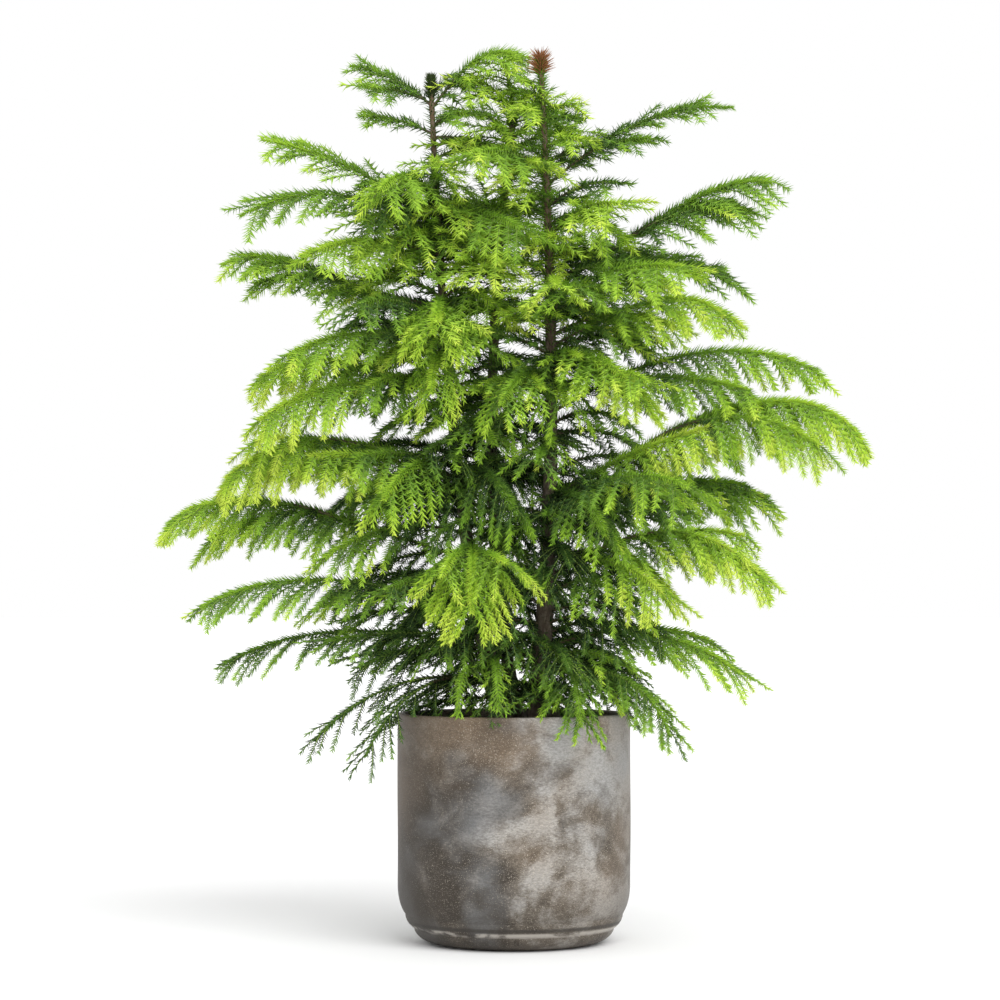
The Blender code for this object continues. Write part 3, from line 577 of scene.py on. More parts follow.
class Shoots(NamedTuple):
    """Shoots that carry needles: their runs, and for each shoot its needles' length, spacing, opening
    angle at the root and at the tip, tone at the root and at the tip, first share with needles, half the
    spread of its two ranks in radians, radii at root and tip, and kind: 0 for green needles, and otherwise
    the place of their colour after the greens."""

    runs: Runs
    needle: np.ndarray
    gap: np.ndarray
    near: np.ndarray
    far: np.ndarray
    old: np.ndarray
    new: np.ndarray
    first: np.ndarray
    ranks: np.ndarray
    root_radius: np.ndarray
    tip_radius: np.ndarray
    kind: np.ndarray


def shoots(runs, kind=0, **looks):
    """Shoots on these runs. A look is a number for all of them or an array with one for each."""
    return Shoots(runs, **{key: np.broadcast_to(np.asarray(value, float), runs.lengths.shape)
                           for key, value in {**looks, "kind": kind}.items()})


def joined(groups):
    """Several sets of shoots as one."""
    runs = Runs(*(np.concatenate(rows) for rows in zip(*(group.runs for group in groups))))
    return Shoots(runs, *(np.concatenate(rows) for rows in zip(*(group[1:] for group in groups))))


def needle_surface(group, width, rng):
    """Needles in two ranks on each shoot, each rank spread about the shoot's level line: three-sided
    spikes from a base ROOT_OFFSET off the shoot's axis to a sharp tip. The angle between needle and shoot
    goes from near to far along the shoot, and needles shorten towards its tip. Returns points, faces and
    each face's place among the colours."""
    runs = group.runs
    counts = np.maximum(FEWEST_NEEDLES, ((1 - group.first) * runs.lengths / group.gap).astype(int))
    owner = np.repeat(np.arange(len(counts)), counts)
    order = np.arange(len(owner)) - np.repeat(np.cumsum(counts) - counts, counts)
    total = len(owner)
    share = ((order + rng.uniform(*NEEDLE_PLACE, total)) / counts[owner]) ** NEEDLE_CROWDING
    share = group.first[owner] + (1 - group.first[owner]) * share
    place = share * (runs.points.shape[1] - 1)
    low = np.clip(place.astype(int), 0, runs.points.shape[1] - 2)
    part = (place - low)[:, None]
    root, forward, across = (
        rows[owner, low] * (1 - part) + rows[owner, low + 1] * part for rows in runs[:3])
    forward = unit(forward)
    across = unit(across - forward * np.sum(across * forward, axis=1, keepdims=True))
    above = np.cross(forward, across)
    spread = group.ranks[owner] * (2 * (order * GOLDEN_SHARE % 1) - 1)
    turn = (order * math.pi + spread + rng.uniform(-NEEDLE_TURN, NEEDLE_TURN, total))[:, None]
    radial = across * np.cos(turn) + above * np.sin(turn)
    opening = group.near[owner] + (group.far - group.near)[owner] * share ** 2
    opening = np.radians(opening + rng.uniform(-NEEDLE_OPENING, NEEDLE_OPENING, total))[:, None]
    shorter = 1 - TIP_SHORTER * smoothstep(TIP_FROM, 1.0, share)
    length = group.needle[owner] * shorter * rng.uniform(*NEEDLE_LENGTH, total)
    way = forward * np.cos(opening) + radial * np.sin(opening)
    side = unit(np.cross(forward, radial))
    over = np.cross(way, side)
    half = width / 2
    base = [root + way * ROOT_OFFSET + half * (side * math.cos(angle) + over * math.sin(angle))
            for angle in (math.pi / 2, math.pi * 7 / 6, math.pi * 11 / 6)]
    points = np.stack([*base, root + way * length[:, None]], axis=1).reshape(-1, 3)
    spike = np.array([(0, 2, 1), (0, 1, 3), (1, 2, 3), (2, 0, 3)])
    faces = (np.arange(total)[:, None, None] * 4 + spike).reshape(-1, 3)
    tone = group.old[owner] + (group.new - group.old)[owner] * smoothstep(NEW_GROWTH_FROM, 1.0, share)
    lightest = len(GREENS) - 1
    green = np.clip(np.round((tone + rng.normal(0.0, TONE_SPREAD, total)) * lightest), 0, lightest)
    colour = np.where(group.kind[owner] > 0, lightest + group.kind[owner], green)
    return points, faces, np.repeat(colour, len(spike))


def rod_surface(runs, root_radius, tip_radius, sides, every):
    """Round rods along the runs, through every so many of their points. The radius goes evenly from root
    to tip, and both ends close on a point of the run. Returns points, faces and each face's share of the
    length."""
    line = runs.points[:, ::every]
    forward = runs.directions[:, ::every]
    across = runs.across[:, ::every]
    across = unit(across - forward * np.sum(across * forward, axis=-1, keepdims=True))
    above = np.cross(forward, across)
    count, rows = line.shape[:2]
    share = np.linspace(0.0, 1.0, rows)
    radius = root_radius[:, None] + (tip_radius - root_radius)[:, None] * share
    angle = np.arange(sides) * math.tau / sides
    spread = (across[:, :, None] * np.cos(angle)[:, None] + above[:, :, None] * np.sin(angle)[:, None])
    rings = (line[:, :, None] + spread * radius[:, :, None, None]).reshape(count, -1, 3)
    points = np.concatenate([rings, line[:, :1], line[:, -1:]], axis=1)
    row, side = (grid.ravel() for grid in np.meshgrid(np.arange(rows - 1), np.arange(sides), indexing="ij"))
    after = (side + 1) % sides
    here, there = row * sides, (row + 1) * sides
    wall = np.concatenate([np.stack([here + side, here + after, there + after], axis=1),
                           np.stack([here + side, there + after, there + side], axis=1)])
    turn = np.arange(sides)
    last = (rows - 1) * sides
    start = np.stack([(turn + 1) % sides, turn, np.full(sides, rows * sides)], axis=1)
    end = np.stack([last + turn, last + (turn + 1) % sides, np.full(sides, rows * sides + 1)], axis=1)
    pattern = np.concatenate([wall, start, end])
    shares = np.concatenate([np.tile((row + 0.5) / (rows - 1), 2), np.zeros(sides), np.ones(sides)])
    faces = (np.arange(count)[:, None, None] * points.shape[1] + pattern).reshape(-1, 3)
    return points.reshape(-1, 3), faces, np.tile(shares, count)


def grid_faces(rows, steps):
    """Triangles between the rows of a grid whose steps run round to the first again."""
    row, step = (grid.ravel() for grid in np.meshgrid(np.arange(rows - 1), np.arange(steps), indexing="ij"))
    after = (step + 1) % steps
    first = np.stack([row * steps + step, row * steps + after, (row + 1) * steps + after], axis=1)
    second = np.stack([row * steps + step, (row + 1) * steps + after, (row + 1) * steps + step], axis=1)
    return np.concatenate([first, second])


def cap_faces(steps, first, pole):
    """Triangles from a closed ring, whose points start at first, to the pole."""
    turn = np.arange(steps)
    after = (turn + 1) % steps
    return np.stack([first + turn, first + after, np.full(steps, pole)], axis=1)


def waves(seed, count, low, high, *fields):
    """A smooth field from -1 to 1: the mean of sines whose frequencies run from low to high, in random
    directions across the given fields."""
    rng = np.random.default_rng(seed)
    total = 0.0
    for _ in range(count):
        way = unit(rng.normal(size=len(fields))) * rng.uniform(low, high)
        phase = sum(part * field for part, field in zip(way, fields))
        total = total + np.sin(phase + rng.uniform(0, math.tau))
    return total / math.sqrt(count)


def make_piece(name, points, faces, materials, indices=None, smooth=True):
    """A mesh object at the origin from arrays, linked to the scene."""
    mesh = bpy.data.meshes.new(name)
    sides = faces.shape[1]
    mesh.vertices.add(len(points))
    mesh.vertices.foreach_set("co", points.astype(np.float32).ravel())
    mesh.loops.add(faces.size)
    mesh.loops.foreach_set("vertex_index", faces.astype(np.int32).ravel())
    mesh.polygons.add(len(faces))
    mesh.polygons.foreach_set("loop_start", np.arange(0, faces.size, sides, dtype=np.int32))
    mesh.polygons.foreach_set("use_smooth", np.full(len(faces), smooth))
    for material in materials:
        mesh.materials.append(material)
    if indices is not None:
        mesh.polygons.foreach_set("material_index", indices.astype(np.int32))
    mesh.update(calc_edges=True)
    mesh.validate()
    obj = bpy.data.objects.new(name, mesh)
    bpy.context.scene.collection.objects.link(obj)
    return obj


def place_piece(obj, nodes):
    """The piece rides on the root body and stands for the nodes, whose parts it hides."""
    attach(obj, "root")
    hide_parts(*nodes)


class Value:
    """A node's output. Arithmetic on a number output adds Math nodes."""

    def __init__(self, graph, socket):
        self.graph = graph
        self.socket = socket

    def maths(self, operation, first, second):
        return self.graph.node("Math", {0: first, 1: second}, operation=operation)

    def __add__(self, other):
        return self.maths("ADD", self, other)

    def __sub__(self, other):
        return self.maths("SUBTRACT", self, other)

    def __rsub__(self, other):
        return self.maths("SUBTRACT", other, self)

    def __mul__(self, other):
        return self.maths("MULTIPLY", self, other)

    __radd__ = __add__
    __rmul__ = __mul__


class Graph:
    """A material's nodes round its Principled shader."""

    def __init__(self, name, **fixed):
        self.material = bpy.data.materials.new(name)
        self.material.use_nodes = True
        self.tree = self.material.node_tree
        self.surface = self.tree.nodes["Principled BSDF"]
        for key, value in fixed.items():
            self.finish(key.replace("_", " "), value)

    def feed(self, socket, value):
        if isinstance(value, Value):
            self.tree.links.new(value.socket, socket)
        else:
            socket.default_value = value

    def node(self, kind, inputs, output=0, stops=None, **settings):
        """Add a node. Its settings and a ramp's stops are set first, then the values or links of its
        sockets."""
        node = self.tree.nodes.new("ShaderNode" + kind)
        for key, value in settings.items():
            setattr(node, key, value)
        if stops:
            ramp = node.color_ramp
            while len(ramp.elements) < len(stops):
                ramp.elements.new(1.0)
            for element, (place, colour) in zip(ramp.elements, stops):
                element.position = place
                element.color = (*colour, 1.0)
        for key, value in inputs.items():
            self.feed(node.inputs[key], value)
        return Value(self, node.outputs[output])

    def finish(self, name, value):
        self.feed(self.surface.inputs[name], value)

    def coordinates(self):
        return self.node("TexCoord", {}, output="Object")

    def noise(self, where, scale, detail=4.0, roughness=0.55, distortion=0.0):
        return self.node("TexNoise", {"Vector": where, "Scale": scale, "Detail": detail,
                                      "Roughness": roughness, "Distortion": distortion})

    def stretched(self, where, scale):
        return self.node("Mapping", {"Vector": where, "Scale": scale})

    def part(self, where, axis):
        """The coordinate along one axis: 0 across, 1 away, 2 up."""
        return self.node("SeparateXYZ", {0: where}, output=axis)

    def band(self, value, low, high):
        """0 below low, 1 above high, and smooth between."""
        return self.node("MapRange", {"Value": value, "From Min": low, "From Max": high},
                         interpolation_type="SMOOTHSTEP")

    def mix(self, share, first, second):
        """From the first colour to the second, as share goes from 0 to 1."""
        first, second = (
            (*colour, 1.0) if isinstance(colour, tuple) else colour for colour in (first, second))
        return self.node("Mix", {0: share, 6: first, 7: second}, output=2, data_type="RGBA")

    def bump(self, height, strength, distance):
        inputs = {"Height": height, "Strength": strength, "Distance": distance}
        self.finish("Normal", self.node("Bump", inputs))


def colour_property(name, description, default):
    return bpy.props.FloatVectorProperty(
        name=name, description=description, default=default, subtype="COLOR", size=3, min=0.0, max=1.0)


def length_property(name, description, default):
    return bpy.props.FloatProperty(
        name=name, description=description, default=default, min=0.0, unit="LENGTH")


class PinePotSettings(bpy.types.PropertyGroup):
    """The pot's and the soil's sizes and colours."""

    radius: length_property("Radius", "The pot's outer radius", 0.140)
    height: length_property("Height", "The pot's height", 0.275)
    wall: length_property("Wall", "Thickness of the pot's wall", 0.009)
    dark: colour_property("Dark glaze", "Brown-grey of the darkest patches", (0.036, 0.028, 0.020))
    middle: colour_property("Middle glaze", "Grey-brown between the patches", (0.125, 0.104, 0.081))
    pale: colour_property("Pale glaze", "Pale grey of the lightest patches", (0.350, 0.330, 0.302))
    warm: colour_property("Warm glaze", "Brown that clouds the upper part", (0.235, 0.165, 0.105))
    cool: colour_property("Cool glaze", "Blue-grey that clouds the middle", (0.330, 0.345, 0.360))
    soil: colour_property("Soil", "Moist potting soil", (0.028, 0.018, 0.011))


class PinePlantSettings(bpy.types.PropertyGroup):
    """The plant's sizes and colours."""

    needle_length: length_property("Needle length", "Length of a needle on a side spray", 0.0106)
    needle_width: length_property("Needle width", "Width of a needle at its root", 0.0018)
    needle_gap: length_property("Needle spacing", "Distance between needles along a shoot", 0.00106)
    bark: colour_property("Bark", "Grey-brown bark low on a stem", (0.072, 0.052, 0.033))
    young_bark: colour_property("Young bark", "Reddish bark high on a stem", (0.125, 0.078, 0.040))
    twig: colour_property("Twig", "Green of a young twig", (0.170, 0.260, 0.040))


class PineStudioSettings(bpy.types.PropertyGroup):
    """The studio's light."""

    floor: colour_property("Floor", "Colour of the floor", (0.84, 0.84, 0.84))
    key_power: bpy.props.FloatProperty(name="Key", description="Strength of the key light", default=2.2)


# Where the glaze changes and where light and shade are painted on it, in metres from the pot's axis and
# above its foot, and its small colours, with those of the bead's painted highlight and the groove's painted
# shade
# Painted shade towards the pot's left and right edges as seen from the front
EDGE_SHADE_LEFT = (-0.050, -0.135)
EDGE_SHADE_RIGHT = (0.100, 0.140)
DARK_FOOT = (0.110, 0.030)
# The bead's painted highlight lies between these heights
BEAD_FOOT = (0.0165, 0.0195)
BEAD_TOP = (0.0245, 0.0215)
# The painted shade in the groove over the bead lies between these heights
GROOVE_SHADE_FOOT = (0.0235, 0.0255)
GROOVE_SHADE_TOP = (0.0300, 0.0275)
SPECKLE = (0.52, 0.46, 0.38)
# Colour of the painted highlight on the bead
BEAD_HIGHLIGHT = (0.52, 0.48, 0.43)
# Colour of the painted shade in the groove
GROOVE_SHADE = (0.030, 0.025, 0.020)

# Crumbs and fibres in the soil, and flecks and scars on the bark and the boughs
CRUMB = (0.075, 0.050, 0.030)
ROOT_FIBRE = (0.170, 0.120, 0.070)
BARK_PLATE = (0.190, 0.160, 0.115)
BARK_SCAR = (0.026, 0.018, 0.011)
GREEN_FLECK = (0.105, 0.095, 0.034)
YOUNG_BARK = (0.60, 0.95)


def glaze(settings):
    """Aged, satin glaze: pale and dark clouds that lighten to the right and upwards, warm and cool tints,
    fine fibres, pale specks, a darker foot, painted shade at the left and right edges, a painted highlight
    on the bead and painted shade in the groove over it."""
    graph = Graph("pot_glaze", Metallic=0.0, Specular_IOR_Level=0.35)
    where = graph.coordinates()
    across, height = graph.part(where, 0), graph.part(where, 2)
    clouds = graph.noise(where, 11.0, 3.0, 0.55, 0.9)
    blots = graph.noise(graph.stretched(where, (1.0, 1.0, 1.5)), 24.0, 5.0, 0.6, 0.5)
    tint = graph.noise(where, 7.0, 2.0)
    fibres = graph.noise(graph.stretched(where, (1.0, 1.0, 2.2)), 260.0, 6.0, 0.7, 0.4)
    specks = graph.noise(where, 900.0, 2.0, 0.5)
    shade = clouds * 1.15 + blots * 0.62 + fibres * 0.26 + across * 1.30 + height * 0.75 - 0.67
    dark = tuple(settings.dark)
    body = graph.node("ValToRGB", {0: shade}, stops=[
        (0.30, dark), (0.47, tuple(settings.middle)), (0.66, tuple(settings.pale))])
    warmth = graph.band(tint + height * 1.2, 0.62, 0.92) * 0.60
    coolness = graph.band(1 - tint + blots * 0.3, 0.62, 0.86) * 0.45
    speckle = graph.band(specks, 0.60, 0.68) * graph.band(tint, 0.30, 0.55) * 0.75
    # Painted shade at the left and right edges, then a darker foot
    sides = graph.band(across, *EDGE_SHADE_LEFT) * 0.55 + graph.band(across, *EDGE_SHADE_RIGHT) * 0.30
    foot = graph.band(height, *DARK_FOOT) * 0.30
    # Painted highlight on the bead, broken up by the blots
    bead = graph.band(height, *BEAD_FOOT) * graph.band(height, *BEAD_TOP)
    bead = bead * (graph.band(blots, 0.40, 0.56) * 0.75)
    # Painted shade in the groove over the bead
    painted_groove_shade = graph.band(height, *GROOVE_SHADE_FOOT) * graph.band(height, *GROOVE_SHADE_TOP) * 0.75
    for share, colour in (
            (warmth, tuple(settings.warm)), (coolness, tuple(settings.cool)), (speckle, SPECKLE),
            (graph.band(fibres, 0.62, 0.36) * 0.35, dark), (sides + foot, dark), (bead, BEAD_HIGHLIGHT),
            (painted_groove_shade, GROOVE_SHADE)):
        body = graph.mix(share, body, colour)
    graph.finish("Base Color", body)
    graph.finish("Roughness", fibres * 0.25 + 0.42)
    graph.bump(fibres * 0.5 + specks * 0.2 + blots * 0.8, 0.55, 0.0012)
    return graph.material


def earth(settings):
    """Moist potting soil: dark crumbs with paler fibres."""
    graph = Graph("potting_soil", Roughness=0.95)
    where = graph.coordinates()
    crumbs = graph.noise(where, 160.0, 8.0, 0.7)
    fibres = graph.noise(graph.stretched(where, (1.0, 3.0, 1.0)), 420.0, 4.0)
    body = graph.mix(graph.band(crumbs, 0.35, 0.75), tuple(settings.soil), CRUMB)
    body = graph.mix(graph.band(fibres, 0.64, 0.72) * 0.5, body, ROOT_FIBRE)
    graph.finish("Base Color", body)
    graph.bump(crumbs, 0.8, 0.003)
    return graph.material


def bark(settings):
    """Bark that is grey-brown and scarred low on the stem, and reddish and smoother above."""
    graph = Graph("bark", Roughness=0.85)
    where = graph.coordinates()
    plates = graph.noise(graph.stretched(where, (1.0, 1.0, 0.45)), 210.0, 6.0, 0.65, 0.6)
    scars = graph.noise(graph.stretched(where, (1.0, 1.0, 3.2)), 130.0, 3.0)
    young = graph.band(graph.part(where, 2), *YOUNG_BARK)
    body = graph.mix(young, tuple(settings.bark), tuple(settings.young_bark))
    body = graph.mix(graph.band(plates, 0.40, 0.66) * 0.6, body, BARK_PLATE)
    body = graph.mix(graph.band(scars, 0.58, 0.70) * 0.7, body, BARK_SCAR)
    graph.finish("Base Color", body)
    graph.bump(plates + scars * -0.6, 0.7, 0.0016)
    return graph.material


def young_wood(settings):
    """A bough's skin: brown that is flecked with green."""
    graph = Graph("bough_skin", Roughness=0.75)
    flecks = graph.noise(graph.coordinates(), 180.0, 4.0)
    graph.finish("Base Color", graph.mix(graph.band(flecks, 0.35, 0.65), tuple(settings.bark), GREEN_FLECK))
    graph.bump(flecks, 0.5, 0.0008)
    return graph.material


def plain(name, colour, roughness, specular=0.5):
    """A material of one colour."""
    return Graph(name, Base_Color=(*colour, 1.0), Roughness=roughness, Specular_IOR_Level=specular).material


def needle_materials():
    """One material for each tone, in the order of TONES, made once for all the pieces."""
    return [bpy.data.materials.get(name) or plain(name, colour, 0.60, 0.20) for name, colour in TONES]


class PINE_OT_pot(bpy.types.Operator):
    """Turn the pot: a straight wall, a rounded shoulder, a groove with painted shade over a raised bead with
    a painted highlight, and a smaller foot"""

    bl_idname = "pine.pot"
    bl_label = "Pot"

    def execute(self, context):
        settings = context.scene.pine_pot
        points, faces = pot_surface(settings)
        piece = make_piece("glazed_pot", points, faces, [glaze(settings)])
        place_piece(piece, ["pot"])
        return {"FINISHED"}


def arc(centre, size, start, end, count):
    """Points on an ellipse about a centre, from one angle in degrees to another."""
    angles = np.radians(np.linspace(start, end, count))
    return np.stack([centre[0] + size[0] * np.cos(angles), centre[1] + size[1] * np.sin(angles)], axis=1)


def upright(radius, start, end, count):
    """Points between two heights at one radius, without the first and the last."""
    heights = np.linspace(start, end, count)[1:-1]
    return np.stack([np.full_like(heights, radius), heights], axis=1)


# The pot's profile in metres: its inner floor and corner, its lip, the heights between which the shoulder
# rounds in and the radius it ends at, the groove over the bead, the bead, and the rounded foot
POT_FLOOR = 0.016
POT_CORNER = 0.020
POT_LIP = 0.003
POT_SHOULDER = 0.070
POT_SEAM = 0.0285
POT_WAIST = 0.1205
POT_GROOVE = [(0.1202, 0.0282), (0.1186, 0.0272), (0.1178, 0.0262), (0.1182, 0.0250), (0.1194, 0.0242)]
POT_BEAD = (0.1192, 0.0212)
POT_BEAD_SIZE = 0.0027
POT_FOOT = 0.0880
POT_FOOT_ROUND = 0.0322
POT_FOOT_RISE = 0.0188
POT_SWELL = 0.00030
POT_STEPS = 240


def pot_surface(settings):
    """The pot's profile carried round the axis, from the middle of its inner floor over the lip and down
    to the middle of its underside, where both ends close on the axis. Its wall swells and sinks by a
    smooth field."""
    outer, wall, top = settings.radius, settings.wall, settings.height
    inner = outer - wall
    profile = np.concatenate([
        [(0.0, POT_FLOOR)],
        np.stack([np.linspace(0.02, inner - POT_CORNER, 6), np.full(6, POT_FLOOR)], axis=1),
        arc((inner - POT_CORNER, POT_FLOOR + POT_CORNER), (POT_CORNER, POT_CORNER), -90, 0, 8),
        upright(inner, POT_FLOOR + POT_CORNER, top - POT_LIP, 28),
        arc((outer - wall / 2, top - POT_LIP), (wall / 2, POT_LIP), 180, 0, 11),
        upright(outer, top - POT_LIP, POT_SHOULDER, 62),
        arc((POT_WAIST, POT_SHOULDER), (outer - POT_WAIST, POT_SHOULDER - POT_SEAM), 0, -84, 22),
        POT_GROOVE,
        arc(POT_BEAD, (POT_BEAD_SIZE, POT_BEAD_SIZE), 70, -60, 9),
        arc((POT_FOOT, POT_FOOT_RISE), (POT_FOOT_ROUND, POT_FOOT_RISE), 0, -90, 18)[1:],
        np.stack([np.linspace(0.084, 0.012, 5), np.zeros(5)], axis=1),
        [(0.0, 0.0)],
    ])
    steps = POT_STEPS
    angle = np.arange(steps) * math.tau / steps
    ring = profile[1:-1]
    height = ring[:, 1][:, None]
    round_x, round_y = np.cos(angle)[None] * 2.2, np.sin(angle)[None] * 2.2
    swell = waves(5, 14, 1.0, 5.0, round_x, round_y, height * 16) * POT_SWELL
    on_wall = smoothstep(0.0, 0.02, height) * smoothstep(0.0, 0.02, top - height)
    radius = ring[:, 0][:, None] + np.where(ring[:, 0][:, None] > inner + 0.001, swell * on_wall, 0.0)
    level = np.repeat(height, steps, axis=1)
    rings = np.stack([radius * np.cos(angle), radius * np.sin(angle), level], axis=-1)
    points = np.concatenate([rings.reshape(-1, 3), [(0.0, 0.0, POT_FLOOR), (0.0, 0.0, 0.0)]])
    pole = len(ring) * steps
    foot_cap = cap_faces(steps, (len(ring) - 1) * steps, pole + 1)[:, [1, 0, 2]]
    walls = grid_faces(len(ring), steps)[:, ::-1]
    return points, np.concatenate([walls, cap_faces(steps, 0, pole), foot_cap])


class PINE_OT_soil(bpy.types.Operator):
    """Fill the pot with uneven soil and scatter crumbs on it"""

    bl_idname = "pine.soil"
    bl_label = "Soil"

    def execute(self, context):
        settings = context.scene.pine_pot
        points, faces = soil_surface(settings)
        piece = make_piece("potting_soil", points, faces, [earth(settings)])
        place_piece(piece, ["soil"])
        return {"FINISHED"}


# The soil in metres: its clearance from the pot's wall, how far it sinks towards its edge and between
# which radii, its depth, and its crumbs' number, sizes and corners
SOIL_CLEAR = 0.0007
SOIL_DISH = 0.006
SOIL_EDGE = (0.070, 0.130)
SOIL_DEPTH = 0.05
SOIL_STEPS = 144
SOIL_ROWS = 46
CRUMBS = 900
CRUMB_SIZE = (0.0012, 0.0042)
CRUMB_CORNER = (0.6, 1.2)


def soil_surface(settings):
    """A bumpy disc that reaches down into the pot and closes below, with crumbs: eight-sided lumps, each
    corner at its own distance from the middle."""
    steps, rows = SOIL_STEPS, SOIL_ROWS
    reach = settings.radius - settings.wall - SOIL_CLEAR
    angle = np.arange(steps) * math.tau / steps
    radius = reach * np.linspace(0.02, 1.0, rows)[:, None]
    across, away = radius * np.cos(angle), radius * np.sin(angle)
    bumps = waves(3, 22, 90.0, 420.0, across, away) * 0.0009
    bumps = bumps + waves(4, 8, 20.0, 60.0, across, away) * 0.0014
    height = SOIL_TOP - SOIL_DISH * smoothstep(*SOIL_EDGE, radius) + bumps - 0.0016
    top = np.stack([across, away, height], axis=-1).reshape(-1, 3)
    foot = SOIL_TOP - SOIL_DEPTH
    rim = np.stack([reach * np.cos(angle), reach * np.sin(angle), np.full(steps, foot)], axis=1)
    points = np.concatenate([top, rim, [(0.0, 0.0, SOIL_TOP - 0.002), (0.0, 0.0, foot)]])
    pole = (rows + 1) * steps
    faces = np.concatenate([grid_faces(rows + 1, steps)[:, ::-1], cap_faces(steps, 0, pole),
                            cap_faces(steps, rows * steps, pole + 1)[:, [1, 0, 2]]])
    rng = np.random.default_rng(6)
    count = CRUMBS
    place = reach * 0.97 * np.sqrt(rng.uniform(0, 1, count))
    turn = rng.uniform(0, math.tau, count)
    size = rng.uniform(*CRUMB_SIZE, count)
    level = SOIL_TOP - SOIL_DISH * smoothstep(*SOIL_EDGE, place) - 0.0010
    centre = np.stack([place * np.cos(turn), place * np.sin(turn), level], axis=1)
    corners = np.array([(1, 0, 0), (0, 1, 0), (-1, 0, 0), (0, -1, 0), (0, 0, 0.8), (0, 0, -0.8)], float)
    spin = rng.uniform(0, math.tau, count)[:, None]
    turned = np.stack([corners[:, 0] * np.cos(spin) - corners[:, 1] * np.sin(spin),
                       corners[:, 0] * np.sin(spin) + corners[:, 1] * np.cos(spin),
                       np.tile(corners[:, 2], (count, 1))], axis=-1)
    lumps = centre[:, None] + turned * rng.uniform(*CRUMB_CORNER, (count, 6, 1)) * size[:, None, None]
    lump = np.array([(0, 1, 4), (1, 2, 4), (2, 3, 4), (3, 0, 4), (1, 0, 5), (2, 1, 5), (3, 2, 5), (0, 3, 5)])
    crumbs = (np.arange(count)[:, None, None] * 6 + lump).reshape(-1, 3) + len(points)
    return np.concatenate([points, lumps.reshape(-1, 3)]), np.concatenate([faces, crumbs])


class PINE_OT_stems(bpy.types.Operator):
    """Grow the three stems with bark relief, scars and whorl swellings"""

    bl_idname = "pine.stems"
    bl_label = "Stems"

    def execute(self, context):
        material = bark(context.scene.pine_plant)
        for index, (name, stem) in enumerate(STEMS.items()):
            points, faces = stem_surface(name, stem, index)
            piece = make_piece(name + "_trunk", points, faces, [material])
            place_piece(piece, [name + "_stem"])
        return {"FINISHED"}


# A stem's rows and steps round, how deep it goes into the soil, half the length of a whorl's swelling, and
# the heights of its relief as shares of its radius
STEM_ROWS = 460
STEM_STEPS = 26
STEM_SUNK = 0.004
WHORL_WIDTH = 0.006
WHORL_HEIGHT = 0.10
SCAR_HEIGHT = 0.055
PLATE_HEIGHT = 0.045


def stem_surface(name, stem, seed):
    """A tube along the stem's arc. Its radius is the even taper plus a root flare, a swelling at each
    whorl, and a relief of sharp scars that run round the stem and of shallow plates that run along it."""
    steps = STEM_STEPS
    share = np.linspace(0.0, 1.0, STEM_ROWS)
    line, forward, across = read(stem_run(stem), share)
    below = np.linspace(0.0, 1.0, 8)[:-1, None]
    line = np.concatenate([line[0] - UP * (FLARE_HEIGHT + STEM_SUNK) * (1 - below), line])
    forward = unit(np.concatenate([np.repeat(forward[:1] * 0.5 + UP * 0.5, len(below), axis=0), forward]))
    across = np.concatenate([np.repeat(across[:1], len(below), axis=0), across])
    across = unit(across - forward * np.sum(across * forward, axis=1, keepdims=True))
    above = np.cross(forward, across)
    share = np.concatenate([below[:, 0] * 0, share])
    height = line[:, 2][:, None]
    radius = (stem.foot_radius + (stem.tip_radius - stem.foot_radius) * share)[:, None]
    flare = 1 + (FLARE_GROWTH - 1) * np.clip(1 - (height - SOIL_TOP) / FLARE_HEIGHT, 0, 1) ** 1.5
    heights = [bough.height for bough in BOUGHS if bough.stem == name]
    whorls = sum(np.exp(-((height - whorl) / WHORL_WIDTH) ** 2) for whorl in heights)
    angle = (np.arange(steps) * math.tau / steps)[None]
    round_x, round_y = np.cos(angle) * 3, np.sin(angle) * 3
    scars = np.clip(waves(20 + seed, 12, 1.0, 3.0, round_x, round_y, height * 420), 0.2, None) - 0.2
    plates = waves(40 + seed, 12, 0.8, 2.6, round_x * 1.6, round_y * 1.6, height * 90)
    relief = scars * SCAR_HEIGHT + plates * PLATE_HEIGHT + WHORL_HEIGHT * np.minimum(whorls, 1.4)
    radius = radius * flare * (1 + relief)
    spread = across[:, None] * np.cos(angle[0])[:, None] + above[:, None] * np.sin(angle[0])[:, None]
    rings = (line[:, None] + spread * radius[..., None]).reshape(-1, 3)
    points = np.concatenate([rings, line[:1], line[-1:] + forward[-1] * stem.tip_radius * 0.6])
    pole = len(line) * steps
    return points, np.concatenate([grid_faces(len(line), steps), cap_faces(steps, 0, pole)[:, [1, 0, 2]],
                                   cap_faces(steps, (len(line) - 1) * steps, pole + 1)])


# Sprays' greens: where along the bough they are full, how they vary, how much lighter their tips are, and
# by how much more the share of them that has bright tips. The darker greens towards the stem are older
# needles and also painted shade of the crown's interior. Then the needles' spacing on a bough against that
# on its sprays, and radii in metres
OUTER_FROM = 0.70
GLOW_SPREAD = 0.05
FRESH_TIP = (0.08, 0.32)
BRIGHT_TIP = 0.22
BRIGHT_SHARE = 0.14
MAIN_GAP = 0.45
TWIG_RADII = (0.0010, 0.0005)
BOUGH_RADII = (0.0020, 0.0008)
LIMB_RADIUS = 0.0024


